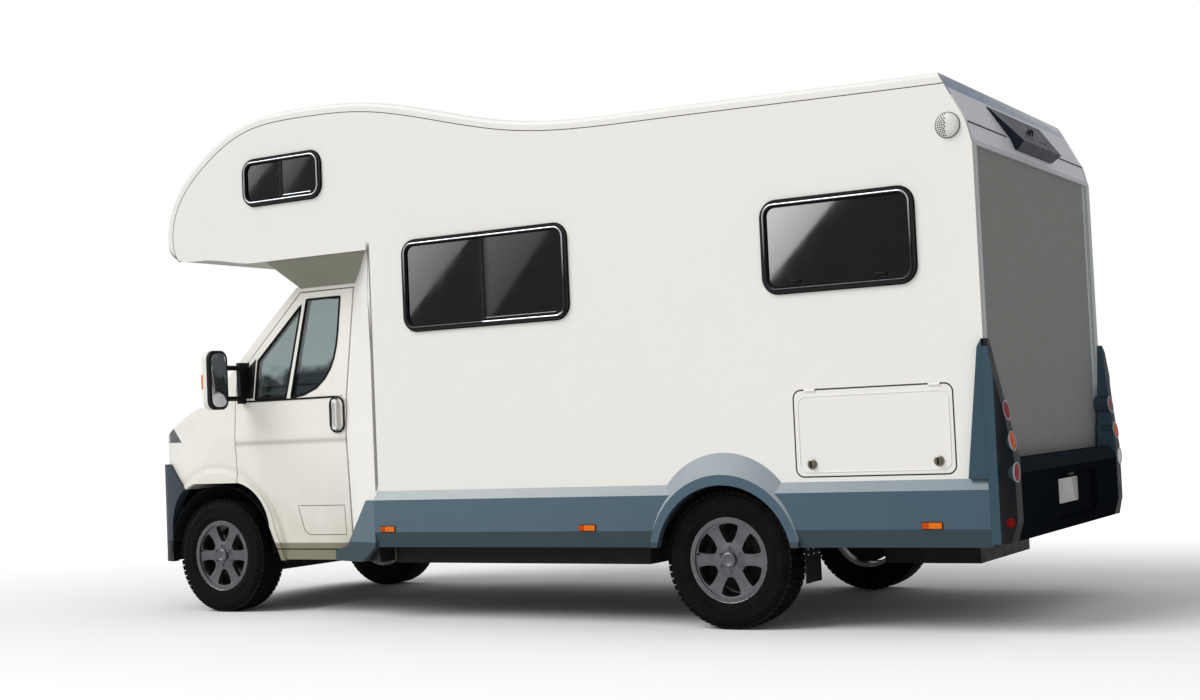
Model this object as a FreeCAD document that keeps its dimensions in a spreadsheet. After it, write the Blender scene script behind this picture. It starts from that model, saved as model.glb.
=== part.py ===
import FreeCAD, Part

import math
import os

import Sketcher
from FreeCAD import Placement, Rotation, Vector
from types import SimpleNamespace

# Motorhome with an alcove over the cab. +X is forward, +Y is left, +Z is up, the ground is z = 0.
# Lengths along the vehicle are given from the rear axle, and heights from the ground.

DIMENSIONS = [
    # Whole vehicle
    ("wheelbase", 3820),
    ("rear_overhang", 1580),
    ("front_overhang", 720),
    ("overrun", 20),
    ("long_overrun", 100),
    ("roof_zone_margin", 80),
    ("nose_margin", 60),
    ("seat_gap", 0.3),
    # Living box
    ("body_half_width", 1100),
    ("wall_panel", 34),
    ("box_rear", 1468),
    ("box_front", 2363),
    ("wall_foot_height", 560),
    ("cap_foot_height", 2440),
    ("cap_seam_rise", 118),
    ("cap_seam_rear", 1440),
    ("roof_rear", 1305),
    ("roof_rear_height", 2820),
    ("roof_mid_ahead", 397),
    ("roof_mid_height", 2861),
    ("dip_ahead", 1265),
    ("dip_height", 2920),
    ("rise_ahead", 2371),
    ("rise_height", 3180),
    ("crest_ahead", 2870),
    ("crest_height", 3211),
    ("brow_ahead", 3366),
    ("brow_height", 3172),
    ("cheek_ahead", 3745),
    ("cheek_height", 2985),
    ("nose_ahead", 4072),
    ("nose_height", 2474),
    ("chin_ahead", 3740),
    ("chin_height", 2318),
    ("moulding_margin", 40),
    ("moulding_foot_margin", 20),
    ("moulding_front_inset", 60),
    ("moulding_sink", 40),
    ("alcove_foot_ahead", 3300),
    ("alcove_foot_height", 2264),
    ("roof_trim_depth", 60),
    ("roof_edge_radius", 28),
    ("floor_top_height", 690),
    ("floor_depth", 90),
    ("rear_panel_recess", 14),
    ("rear_trim_width", 34),
    ("wheel_box_panel", 12),
    ("wheel_box_inner", 830),
    # Side windows of the living box, and the frames round them
    ("mid_window_rear", 952),
    ("mid_window_front", 2068),
    ("mid_window_foot", 1768),
    ("mid_window_head", 2259),
    ("rear_window_rear", -1120),
    ("rear_window_front", -325),
    ("rear_window_foot", 1805),
    ("rear_window_head", 2239),
    ("alcove_window_rear", 2742),
    ("alcove_window_front", 3334),
    ("alcove_window_foot", 2658),
    ("alcove_window_head", 2900),
    ("window_corner", 60),
    ("frame_lap", 30),
    ("frame_proud", 16),
    ("frame_bead", 12),
    ("stile_half_width", 13),
    ("pane_thickness", 6),
    # Locker door, left
    ("locker_rear", -1296),
    ("locker_front", -438),
    ("locker_foot", 812),
    ("locker_head", 1257),
    ("locker_corner", 40),
    ("locker_gap", 8),
    ("locker_hinge_gap", 60),
    # Entry door, right
    ("entry_rear", 620),
    ("entry_front", 1220),
    ("entry_foot", 640),
    ("entry_head", 2420),
    ("entry_corner", 60),
    ("entry_gap", 8),
    ("entry_pane_foot", 1560),
    ("entry_pane_head", 2180),
    ("entry_pane_margin", 110),
    ("entry_pane_thickness", 12),
    ("entry_hinge_gap", 120),
    # Cab
    ("cab_half_width", 985),
    ("cab_wall", 45),
    ("cab_foot_height", 350),
    ("cab_floor_height", 640),
    ("cab_floor_depth", 40),
    ("belt_height", 1150),
    ("belt_half_width", 990),
    ("shoulder_height", 1390),
    ("shoulder_half_width", 970),
    ("cab_roof_half_width", 850),
    ("cab_roof_height", 2150),
    ("cab_foot_half_width", 950),
    ("screen_foot_ahead", 3850),
    ("screen_foot_height", 1380),
    ("screen_head_ahead", 3160),
    ("screen_head_height", 2105),
    ("bonnet_nose_height", 1050),
    ("bonnet_crown", 35),
    ("screen_crown", 12),
    ("cab_roof_crown", 14),
    ("front_curve_ahead", 3700),
    ("front_corner_ahead", 4290),
    ("front_corner_half_width", 905),
    ("front_curve_rise", 25),
    ("nose_corner_ahead", 4410),
    ("nose_corner_half_width", 770),
    ("nose_corner_rise", 22),
    ("screen_margin", 60),
    ("screen_foot_margin", 45),
    ("firewall_ahead", 3640),
    ("firewall_thickness", 20),
    ("bay_half_width", 440),
    ("headlamp_inner", 665),
    ("headlamp_tail_ahead", 3930),
    ("headlamp_head_height", 1290),
    ("headlamp_depth", 45),
    ("arch_radius", 450),
    ("arch_head_height", 850),
    ("arch_depth", 470),
    ("arch_rear_reach", 540),
    ("arch_front_reach", 445),
    ("arch_rise", 65),
    ("arch_lip_width", 38),
    ("arch_lip_proud", 7),
    ("arch_side_height", 558),
    ("arch_head_half", 202),
    ("glass_inset", 5),
    ("glass_thickness", 5),
    # Cab doors
    ("door_rear", 2690),
    ("door_front", 3620),
    ("door_foot", 420),
    ("door_shoulder_height", 1543),
    ("door_head_front", 3123),
    ("door_head_height", 2065),
    ("door_gap", 8),
    ("door_inner", 780),
    ("door_rear_gap", 12),
    ("door_divider_ahead", 3165),
    ("door_divider_half", 22),
    ("door_divider_lean", 75),
    ("door_pane_foot", 1390),
    ("door_pane_head", 2018),
    ("door_pane_rear", 2790),
    ("door_pane_corner", 60),
    ("quarter_front", 3450),
    ("quarter_front_head", 1640),
    ("quarter_rear_head", 1985),
    ("handle_ahead", 2745),
    ("handle_height", 1265),
    ("handle_half_length", 62),
    ("handle_half_height", 118),
    ("handle_plate", 6),
    ("handle_root", 40),
    ("handle_proud", 34),
    ("handle_grip", 22),
    # Bonnet, bumper, grille
    ("bonnet_rear_ahead", 3870),
    ("bonnet_half_width", 640),
    ("bonnet_gap", 8),
    ("bonnet_hinge_height", 1372),
    ("hinge_length", 60),
    ("hinge_radius", 7.7),
    ("bumper_head_height", 985),
    ("bumper_proud", 22),
    ("bumper_depth", 60),
    ("bumper_cheek_length", 160),
    ("bumper_open_length", 180),
    ("grille_foot_height", 690),
    ("grille_head_height", 900),
    ("grille_half_width", 560),
    ("grille_corner", 50),
    ("grille_border", 22),
    ("slat_height", 14),
    ("intake_foot_height", 430),
    ("intake_head_height", 585),
    ("intake_half_width", 550),
    ("fog_lamp_radius", 42),
    ("fog_lamp_half_spacing", 680),
    ("fog_lamp_height", 510),
    # Wheels
    ("tyre_radius", 372),
    ("tyre_width", 215),
    ("tyre_shoulder", 42),
    ("tyre_flank_radius", 298),
    ("rim_radius", 228),
    ("rim_wall", 12),
    ("track_half", 982),
    ("tyre_sidewall_swell", 6),
    ("tyre_bead_swell", 3),
    ("tyre_crown_rise", 4),
    ("front_track_half", 845),
    ("hub_radius", 62),
    ("disc_radius", 150),
    ("disc_thickness", 24),
    ("kingpin_inset", 75),
    ("spoke_thickness", 30),
    ("spoke_dish", 15),
    ("spoke_hollow", 8),
    ("rim_window_rise", 7),
    ("rim_window_foot", 92),
    ("rim_window_head", 183),
    ("rim_window_foot_half", 14),
    ("rim_window_head_half", 58),
    ("rim_cap_radius", 42),
    ("rim_cap_proud", 12),
    ("rim_nut_radius", 11),
    ("rim_nut_circle", 65),
    ("rim_nut_proud", 16),
    # Chassis
    ("rail_half_spacing", 400),
    ("rail_width", 60),
    ("rail_height", 140),
    ("rail_top_height", 600),
    ("rail_rear", 1380),
    ("rail_front", 4250),
    ("member_width", 80),
    ("member_rear_ahead", 590),
    ("member_mid_ahead", 1655),
    ("tow_hole_radius", 7),
    ("jack_ahead", 1000),
    ("jack_pad_half", 45),
    ("jack_pad_depth", 10),
    # Skirts
    ("skirt_proud", 36),
    ("skirt_foot_proud", 12),
    ("skirt_head_height", 782),
    ("skirt_crease_height", 728),
    ("skirt_band_height", 535),
    ("skirt_foot_height", 443),
    ("skirt_rear", 1468),
    ("flare_outer_radius", 438),
    ("flare_outer_height", 511),
    ("flare_arch_radius", 405),
    ("flare_rim", 35),
    ("flare_foot_rise", 20),
    ("flare_proud", 10),
    ("wedge_front_proud", 10),
    ("fairing_setback", 5),
    # Rear
    ("bumper_rear_head", 868),
    ("bumper_rear_foot", 460),
    ("bumper_rear_proud", 100),
    ("bumper_corner", 90),
    ("bumper_corner_rise", 12),
    ("pillar_head_height", 1470),
    ("bumper_shelf_depth", 70),
    ("bumper_shelf_drop", 60),
    ("bumper_tuck_height", 100),
    ("bumper_tuck_depth", 80),
    ("bumper_skin", 20),
    ("pillar_side_reach", 100),
    ("pillar_inner", 830),
    ("pillar_foot_width", 150),
    ("pillar_head_width", 20),
    ("pillar_head_slope", 40),
    ("pillar_head_depth", 24),
    ("pillar_strip_inset", 5),
    ("lamp_radius", 52),
    ("lamp_proud", 4),
    ("lamp_back_gap", 20),
    ("lamp_half_spacing", 1020),
    ("lamp_high", 1112),
    ("lamp_mid", 960),
    ("lamp_low", 805),
    ("plate_left", 300),
    ("plate_right", 480),
    ("plate_foot_height", 515),
    ("plate_head_height", 760),
    ("plate_recess_depth", 35),
    ("marker_front", 2261),
    ("marker_mid", 845),
    ("marker_rear", -1171),
    ("marker_length", 110),
    ("marker_height", 30),
    ("marker_proud", 10),
    ("housing_foot_half", 330),
    ("housing_head_half", 480),
    ("housing_foot_rise", 60),
    ("housing_height", 225),
    ("housing_proud", 45),
    ("housing_head_proud", 55),
    ("housing_chin", 40),
    ("housing_sill_rise", 80),
    ("housing_niche_half", 190),
    ("housing_lens_half", 60),
    ("cowl_radius", 62),
    ("cowl_proud", 30),
    ("cowl_slot", 10),
    ("cowl_behind", 1348),
    ("cowl_drop", 275),
    ("hatch_half", 250),
    ("hatch_rear", 500),
    ("hatch_front", 700),
    ("hatch_brim_rise", 89),
    ("hatch_top_rise", 124),
    ("hatch_taper", 40),
    # Engine, cabin and mirrors
    ("engine_front", 4150),
    ("engine_half_width", 300),
    ("engine_mount_ahead", 120),
    ("engine_foot_height", 400),
    ("engine_head_height", 860),
    ("dash_foot_height", 880),
    ("dash_rear", 3330),
    ("dash_head_drop", 67.5),
    ("dash_half_width", 880),
    ("steering_radius", 190),
    ("steering_grip", 15),
    ("steering_column", 260),
    ("steering_ahead", 3180),
    ("steering_height", 1290),
    ("driver_half_spacing", 430),
    ("seat_width", 480),
    ("seat_rear", 2620),
    ("seat_length", 520),
    ("seat_height", 1060),
    ("seat_back_depth", 110),
    ("seat_back_height", 1780),
    ("mirror_ahead", 3545),
    ("mirror_depth", 60),
    ("mirror_dome", 32),
    ("mirror_rim", 8),
    ("mirror_post_proud", 30),
    ("mirror_post_margin", 34),
    ("mirror_inner", 1140),
    ("mirror_outer", 1310),
    ("mirror_foot_height", 1330),
    ("mirror_head_height", 1710),
    ("mirror_corner", 60),
    ("mirror_arm_radius", 16),
    ("mirror_low_arm_rise", 70),
    ("mirror_high_arm_drop", 110),
    ("fairing_inner", 760),
    ("groove_depth", 45),
    ("groove_foot_width", 28),
    ("groove_knee_height", 1620),
    ("groove_mid_width", 55),
    ("groove_mid_height", 1980),
    ("groove_head_width", 36),
    # Axles and underbody
    ("hub_face", 40),
    ("beam_radius", 45),
    ("leaf_reach", 580),
    ("leaf_thickness", 24),
    ("leaf_drop", 110),
    ("knuckle_half_height", 110),
    ("knuckle_radius", 30),
    ("arm_half_length", 90),
    ("arm_thickness", 28),
    ("spring_radius", 45),
    ("spring_half_spacing", 570),
    ("tow_half_width", 560),
    ("tank_rear", 520),
    ("tank_margin", 60),
    ("tank_foot_height", 340),
    ("waste_tank_rear", 1180),
    ("waste_tank_front", 640),
    ("waste_tank_half_width", 440),
    ("waste_tank_foot_height", 300),
    ("flap_behind", 440),
    ("flap_thickness", 8),
    ("flap_foot_height", 250),
    ("wedge_reach", 430),
]

WHEEL_SIDES = {"left": 1, "right": -1}


class Size:
    """A number from the sheet, kept together with the expression that works it out."""

    def __init__(self, value, text):
        self.value = float(value)
        self.text = text

    def __add__(self, other):
        other = size(other)
        return Size(self.value + other.value, f"({self.text} + {other.text})")

    def __sub__(self, other):
        other = size(other)
        return Size(self.value - other.value, f"({self.text} - {other.text})")

    def __mul__(self, other):
        other = size(other)
        return Size(self.value * other.value, f"({self.text} * {other.text})")

    def __truediv__(self, other):
        other = size(other)
        return Size(self.value / other.value, f"({self.text} / {other.text})")

    def __neg__(self):
        return Size(-self.value, f"(-{self.text})")

    def __radd__(self, other):
        return size(other) + self

    def __rsub__(self, other):
        return size(other) - self

    def __rmul__(self, other):
        return size(other) * self


def size(value):
    """Any plain number as a Size."""
    return value if isinstance(value, Size) else Size(value, f"({value!r})")


doc = FreeCAD.newDocument("motorhome")
sheet = doc.addObject("Spreadsheet::Sheet", "dims")
for row, (alias, number) in enumerate(DIMENSIONS, start=1):
    sheet.set(f"A{row}", alias)
    sheet.set(f"B{row}", str(number))
    sheet.setAlias(f"B{row}", alias)
doc.recompute()
D = SimpleNamespace(**{alias: Size(sheet.get(alias), f"dims.{alias}") for alias, _ in DIMENSIONS})

REAR_AXLE = (D.rear_overhang - D.wheelbase - D.front_overhang) / 2
FRONT_AXLE = REAR_AXLE + D.wheelbase
HALF_WIDTH = D.body_half_width
INNER_HALF_WIDTH = D.body_half_width - D.wall_panel
CAB_FRONT_AHEAD = D.wheelbase + D.front_overhang - D.bumper_proud
NOSE_CURVE_RISE = CAB_FRONT_AHEAD - D.nose_corner_ahead

PLANE_TURNS = {
    "XY": Rotation(),
    "XZ": Rotation(Vector(1, 0, 0), 90),
    "YZ": Rotation(Vector(1, 1, 1), 120),
}
PLANE_NORMALS = {"XY": "z", "XZ": "y", "YZ": "x"}
DIRECTIONS = {"x": Vector(1, 0, 0), "y": Vector(0, 1, 0), "z": Vector(0, 0, 1)}

nodes = []

ROOF_STEPS = 28
SPOKES = 6


def along(distance):
    """A place along the vehicle, measured forward from the rear axle."""
    return REAR_AXLE + distance


def bind(thing, **sizes):
    """Sets properties of a document object and binds them to the sheet."""
    for name, value in sizes.items():
        setattr(thing, name, size(value).value)
        thing.setExpression(name, size(value).text)


def place(thing, **offsets):
    """Moves an object, each offset (x, y, z) bound to the sheet."""
    for axis, value in offsets.items():
        setattr(thing.Placement.Base, axis, size(value).value)
        thing.setExpression(f"Placement.Base.{axis}", size(value).text)


def node(thing, name):
    """Marks a finished piece of the vehicle."""
    thing.Label = name
    nodes.append(thing)
    return thing


def draw(sketch, outline):
    """Draws one closed outline whose corners are bound to the sheet.

    Each corner is (across, up) or (across, up, rise), where rise is the height of an arc to the
    next corner, positive to the right of the way of travel.
    """
    corners = [tuple(size(value) for value in corner) for corner in outline]
    count = len(corners)
    shapes, starts = [], []
    for index, corner in enumerate(corners):
        following = corners[(index + 1) % count]
        a = Vector(corner[0].value, corner[1].value, 0)
        b = Vector(following[0].value, following[1].value, 0)
        if len(corner) == 2:
            shapes.append(Part.LineSegment(a, b))
            starts.append(1)
            continue
        rise = corner[2].value
        side = (b - a).normalize().cross(Vector(0, 0, 1))
        middle = (a + b) / 2 + side * rise
        shapes.append(Part.Arc(a, middle, b) if rise > 0 else Part.Arc(b, middle, a))
        starts.append(1 if rise > 0 else 2)
    sketch.addGeometry(shapes, False)
    for index in range(count):
        following = (index + 1) % count
        sketch.addConstraint(
            Sketcher.Constraint("Coincident", index, 3 - starts[index], following, starts[following])
        )
    for index, corner in enumerate(corners):
        for kind, value in (("DistanceX", corner[0]), ("DistanceY", corner[1])):
            rule = Sketcher.Constraint(kind, -1, 1, index, starts[index], value.value)
            number = sketch.addConstraint(rule)
            sketch.setExpression(f"Constraints[{number}]", value.text)
        if len(corner) == 3:
            following = corners[(index + 1) % count]
            span_across = following[0] - corner[0]
            span_up = following[1] - corner[1]
            rise = corner[2] if corner[2].value > 0 else -corner[2]
            radius = (span_across * span_across + span_up * span_up) / (rise * 8) + rise / 2
            number = sketch.addConstraint(Sketcher.Constraint("Radius", index, radius.value))
            sketch.setExpression(f"Constraints[{number}]", radius.text)
    return sketch


def prism(name, plane, outline, start, stop):
    """A straight prism over an outline, from start to stop along the plane's normal."""
    start, stop = size(start), size(stop)
    sketch = doc.addObject("Sketcher::SketchObject", f"{name}_outline")
    sketch.Placement = Placement(Vector(), PLANE_TURNS[plane])
    draw(sketch, outline)
    axis = PLANE_NORMALS[plane]
    place(sketch, **{axis: start})
    body = doc.addObject("Part::Extrusion", name)
    body.Base = sketch
    body.DirMode = "Custom"
    body.Dir = DIRECTIONS[axis]
    body.Solid = True
    bind(body, LengthFwd=stop - start)
    return body


def box(name, x, y, z):
    """A block between two places along each axis."""
    body = doc.addObject("Part::Box", name)
    bind(body, Length=x[1] - x[0], Width=y[1] - y[0], Height=z[1] - z[0])
    place(body, x=x[0], y=y[0], z=z[0])
    return body


def cylinder(name, axis, radius, start, stop, **centre):
    """A round bar along one axis, from start to stop."""
    body = doc.addObject("Part::Cylinder", name)
    turns = {"x": Rotation(Vector(0, 1, 0), 90), "y": Rotation(Vector(1, 0, 0), -90), "z": Rotation()}
    body.Placement = Placement(Vector(), turns[axis])
    bind(body, Radius=radius, Height=size(stop) - start)
    place(body, **{axis: start}, **centre)
    return body


def fuse(name, parts):
    body = doc.addObject("Part::MultiFuse", name)
    body.Shapes = parts
    return body


def common(name, parts):
    body = doc.addObject("Part::MultiCommon", name)
    body.Shapes = parts
    return body


def cut(name, base, tools):
    body = doc.addObject("Part::Cut", name)
    body.Base = base
    body.Tool = tools[0] if len(tools) == 1 else fuse(f"{name}_tools", tools)
    return body


def loft(name, plane, sections):
    """A solid with straight sides between outlines; each section is (outline, place on the normal)."""
    sketches = []
    for index, (outline, at) in enumerate(sections):
        sketch = doc.addObject("Sketcher::SketchObject", f"{name}_section_{index}")
        sketch.Placement = Placement(Vector(), PLANE_TURNS[plane])
        draw(sketch, outline)
        place(sketch, **{PLANE_NORMALS[plane]: at})
        sketches.append(sketch)
    body = doc.addObject("Part::Loft", name)
    body.Sections = sketches
    body.Solid = True
    body.Ruled = True
    return body


def revolved(name, outline):
    """A ring about the Y axis; the outline is (across, radius)."""
    sketch = doc.addObject("Sketcher::SketchObject", f"{name}_outline")
    sketch.Placement = Placement(Vector(), PLANE_TURNS["YZ"])
    draw(sketch, outline)
    body = doc.addObject("Part::Revolution", name)
    body.Source = sketch
    body.Axis = DIRECTIONS["y"]
    body.Base = Vector()
    body.Angle = 360
    body.Solid = True
    return body


def mirrored(name, source):
    """The same piece on the right-hand side."""
    body = doc.addObject("Part::Mirroring", name)
    body.Source = source
    body.Normal = Vector(0, 1, 0)
    return body


def both_sides(name, source):
    """A piece and its mirror image as one object."""
    return fuse(name, [source, mirrored(f"{name}_mirrored", source)])


CORNER_RISE_SHARE = 1 - math.sqrt(0.5)
COWL_SLOTS = 6
GRILLE_SLOTS = 4
INTAKE_SLOTS = 3
HANDLE_BAR_SHARE = 0.8
HANDLE_GAP_SHARE = 0.62
FLARE_RISE_SHARE = 0.999
FLARE_RIM_RISE_SHARE = 0.84
WEDGE_FOOT_SHARE = 0.35
WEDGE_LIP_SHARE = 0.15
WEDGE_RISE_SHARE = 0.7
WEDGE_HEAD_SHARE = 0.2


def rounded(left, right, foot, head, radius):
    """A rectangle with rounded corners."""
    rise = radius * CORNER_RISE_SHARE
    return [
        (left + radius, foot),
        (right - radius, foot, rise),
        (right, foot + radius),
        (right, head - radius, rise),
        (right - radius, head),
        (left + radius, head, rise),
        (left, head - radius),
        (left, foot + radius, rise),
    ]


# Living box


def coach_face(roof_inset=0, outward=0, chin_lift=0):
    """The side outline of the living box.

    roof_inset draws the roof line in, outward moves the straight edges out, chin_lift raises the
    underside of the alcove.
    """
    roof_inset, outward, chin_lift = (size(value).value for value in (roof_inset, outward, chin_lift))

    def point(ahead, up):
        return Vector(along(ahead).value, 0, size(up).value)

    roof = Part.BSplineCurve()
    roof_points = [
        point(-D.roof_rear, D.roof_rear_height),
        point(D.roof_mid_ahead, D.roof_mid_height),
        point(D.dip_ahead, D.dip_height),
        point(D.rise_ahead, D.rise_height),
        point(D.crest_ahead, D.crest_height),
        point(D.brow_ahead, D.brow_height),
        point(D.cheek_ahead, D.cheek_height),
        point(D.nose_ahead, D.nose_height),
    ]
    roof.interpolate(roof_points, InitialTangent=Vector(1, 0, 0.02), FinalTangent=Vector(0, 0, -1))
    if roof_inset:
        steps = [index / ROOF_STEPS for index in range(ROOF_STEPS + 1)]
        spots = [roof.FirstParameter + (roof.LastParameter - roof.FirstParameter) * step for step in steps]
        inward = [roof.tangent(spot)[0].cross(Vector(0, 1, 0)) * -roof_inset for spot in spots]
        roof_points = [roof.value(spot) + shift for spot, shift in zip(spots, inward)]
        roof = Part.BSplineCurve()
        roof.interpolate(roof_points, InitialTangent=Vector(1, 0, 0.02), FinalTangent=Vector(0, 0, -1))
    chin = Part.BSplineCurve()
    chin_points = [
        roof_points[-1],
        point(D.chin_ahead, D.chin_height - outward + chin_lift),
        point(D.alcove_foot_ahead, D.alcove_foot_height - outward + chin_lift),
    ]
    chin.interpolate(chin_points, InitialTangent=Vector(0, 0, -1), FinalTangent=Vector(-1, 0, 0))
    corners = [
        chin_points[-1],
        point(D.box_front + outward, D.alcove_foot_height - outward + chin_lift),
        point(D.box_front + outward, D.wall_foot_height - outward),
        point(-D.box_rear - outward, D.wall_foot_height - outward),
        point(-D.box_rear - outward, D.cap_foot_height),
        point(-D.cap_seam_rear - outward, D.cap_foot_height + D.cap_seam_rise),
        point(-D.roof_rear - outward, D.roof_rear_height - roof_inset),
    ]
    if outward:
        corners.append(roof_points[0])
    edges = [roof.toShape(), chin.toShape()]
    edges += [Part.makeLine(a, b) for a, b in zip(corners, corners[1:])]
    return Part.Face(Part.Wire(edges))


def under_roof(name, inset, start, stop):
    """All that lies inside the roof line drawn in by an inset, running out past every other edge."""
    return coach_prism(name, coach_face(inset, D.roof_zone_margin), start, stop)


def coach_prism(name, face, start, stop):
    """A slab of the living box between two places across the vehicle."""
    outline = doc.addObject("Part::Feature", f"{name}_outline")
    outline.Shape = face
    place(outline, y=start)
    body = doc.addObject("Part::Extrusion", name)
    body.Base = outline
    body.DirMode = "Custom"
    body.Dir = DIRECTIONS["y"]
    body.Solid = True
    bind(body, LengthFwd=size(stop) - start)
    return body


def window_outline(prefix, lap):
    """The rounded outline of a side window, with its edge moved out by lap."""
    lap = size(lap)
    return rounded(
        along(getattr(D, f"{prefix}_rear")) - lap,
        along(getattr(D, f"{prefix}_front")) + lap,
        getattr(D, f"{prefix}_foot") - lap,
        getattr(D, f"{prefix}_head") + lap,
        D.window_corner + lap,
    )


def side_opening(name, outline, side):
    """A prism that passes through one side wall."""
    if side > 0:
        return prism(name, "XZ", outline, INNER_HALF_WIDTH - D.overrun, HALF_WIDTH + D.overrun)
    return prism(name, "XZ", outline, -HALF_WIDTH - D.overrun, -INNER_HALF_WIDTH + D.overrun)


def wall_slab(name, side):
    start, stop = (INNER_HALF_WIDTH, HALF_WIDTH) if side > 0 else (-HALF_WIDTH, -INNER_HALF_WIDTH)
    slab = coach_prism(f"{name}_whole", coach_face(), start, stop)
    below = under_roof(f"{name}_below", D.roof_trim_depth, -HALF_WIDTH - D.overrun, HALF_WIDTH + D.overrun)
    return common(name, [slab, below])


def wheel_gap(name):
    """Room for the rear wheels, cut from what stands beside them."""
    return cylinder(
        name, "y", D.flare_arch_radius, -HALF_WIDTH - D.long_overrun, HALF_WIDTH + D.long_overrun,
        x=REAR_AXLE, z=D.tyre_radius,
    )


def locker_outline(gap):
    gap = size(gap)
    return rounded(
        along(D.locker_rear) - gap, along(D.locker_front) + gap,
        D.locker_foot - gap, D.locker_head + gap, D.locker_corner + gap,
    )


def entry_outline(gap):
    gap = size(gap)
    return rounded(
        along(D.entry_rear) - gap, along(D.entry_front) + gap,
        D.entry_foot - gap, D.entry_head + gap, D.entry_corner + gap,
    )


def entry_pane_outline(lap):
    lap = size(lap)
    return rounded(
        along(D.entry_rear) + D.entry_pane_margin - lap, along(D.entry_front) - D.entry_pane_margin + lap,
        D.entry_pane_foot - lap, D.entry_pane_head + lap, D.window_corner + lap,
    )


LEFT_WINDOWS = ("mid_window", "rear_window", "alcove_window")
RIGHT_WINDOWS = ("rear_window", "alcove_window")
SLIDING_WINDOWS = ("mid_window", "alcove_window")


def make_side_walls():
    left = cut(
        "wall_left", wall_slab("wall_left_slab", 1),
        [side_opening(f"left_{name}_hole", window_outline(name, 0), 1) for name in LEFT_WINDOWS]
        + [side_opening("locker_hole", locker_outline(D.locker_gap), 1), wheel_gap("wall_left_wheel_gap")],
    )
    node(left, "side_wall_left")
    right = cut(
        "wall_right", wall_slab("wall_right_slab", -1),
        [side_opening(f"right_{name}_hole", window_outline(name, 0), -1) for name in RIGHT_WINDOWS]
        + [side_opening("entry_hole", entry_outline(D.entry_gap), -1), wheel_gap("wall_right_wheel_gap")],
    )
    node(right, "side_wall_right")


def coach_solid(name):
    """The whole living box as one solid, with its long roof edges rounded."""
    outside = coach_prism(f"{name}_square", coach_face(), -HALF_WIDTH, HALF_WIDTH)
    outside.recompute()
    long_edges = [
        edge for edge in outside.Shape.Edges
        if isinstance(edge.Curve, Part.BSplineCurve) and abs(edge.BoundBox.YLength) < D.seat_gap.value
        and edge.BoundBox.ZMax > D.nose_height.value + D.overrun.value
    ]
    body = doc.addObject("Part::Feature", name)
    body.Shape = outside.Shape.makeFillet(D.roof_edge_radius.value, long_edges)
    return body


def make_roof_and_ends():
    """Roof shell, alcove floor, rear cap and rear wall, all one panel thick."""
    far = HALF_WIDTH + D.overrun
    roof = cut("roof", coach_solid("coach_outside"), [
        under_roof("roof_hollow", D.wall_panel, -INNER_HALF_WIDTH, INNER_HALF_WIDTH),
        under_roof("below_trim", D.roof_trim_depth, -far, far),
    ])
    node(roof, "roof_shell")

    cap = prism("cap", "XZ", [
        (along(-D.box_rear), D.cap_foot_height),
        (along(-D.box_rear) + D.wall_panel, D.cap_foot_height),
        (along(-D.cap_seam_rear) + D.wall_panel, D.cap_foot_height + D.cap_seam_rise),
        (along(-D.roof_rear) + D.wall_panel, D.roof_rear_height),
        (along(-D.roof_rear), D.roof_rear_height),
        (along(-D.cap_seam_rear), D.cap_foot_height + D.cap_seam_rise),
    ], -INNER_HALF_WIDTH, INNER_HALF_WIDTH)
    node(common("cap_below_roof", [
        cap, under_roof("cap_limit", D.wall_panel, -INNER_HALF_WIDTH, INNER_HALF_WIDTH),
    ]), "rear_cap")

    chin = cut("chin", coach_prism("chin_blank", coach_face(), -INNER_HALF_WIDTH, INNER_HALF_WIDTH), [
        coach_prism("chin_room", coach_face(-D.overrun, D.overrun, D.overrun + D.wall_panel), -far, far),
        box("chin_rear", (along(-D.box_rear) - D.overrun, along(D.box_front)), (-far, far),
            (0, D.crest_height + D.long_overrun)),
        roof,
    ])
    funnel = cut("funnel", alcove_moulding("moulding"), [cab_form("cab_under_moulding", 0)])
    node(fuse("alcove_underside", [chin, funnel]), "alcove_floor")

    rear_face = along(-D.box_rear) + D.rear_panel_recess
    panel = box(
        "rear_panel", (rear_face, rear_face + D.wall_panel),
        (-INNER_HALF_WIDTH, INNER_HALF_WIDTH), (D.floor_top_height - D.floor_depth, D.cap_foot_height),
    )
    trim = box(
        "rear_trim", (along(-D.box_rear), rear_face),
        (INNER_HALF_WIDTH - D.rear_trim_width, INNER_HALF_WIDTH),
        (D.floor_top_height - D.floor_depth, D.cap_foot_height),
    )
    node(fuse("rear_panel_trimmed", [panel, both_sides("rear_trims", trim)]), "rear_wall")


def alcove_moulding(name):
    """The tapered form between the cab roof and the alcove."""
    half = D.cab_roof_half_width - D.moulding_foot_margin
    front = along(D.screen_head_ahead) - D.moulding_front_inset
    moulding_foot = [
        (along(D.box_front), -half),
        (front, -half),
        (front, half),
        (along(D.box_front), half),
    ]
    moulding_head = [
        (along(D.box_front), -INNER_HALF_WIDTH + D.moulding_margin),
        (along(D.alcove_foot_ahead) - D.moulding_margin, -INNER_HALF_WIDTH + D.moulding_margin),
        (along(D.alcove_foot_ahead) - D.moulding_margin, INNER_HALF_WIDTH - D.moulding_margin),
        (along(D.box_front), INNER_HALF_WIDTH - D.moulding_margin),
    ]
    return loft(name, "XY", [
        (moulding_foot, D.screen_head_height - D.moulding_sink), (moulding_head, D.alcove_foot_height),
    ])


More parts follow.
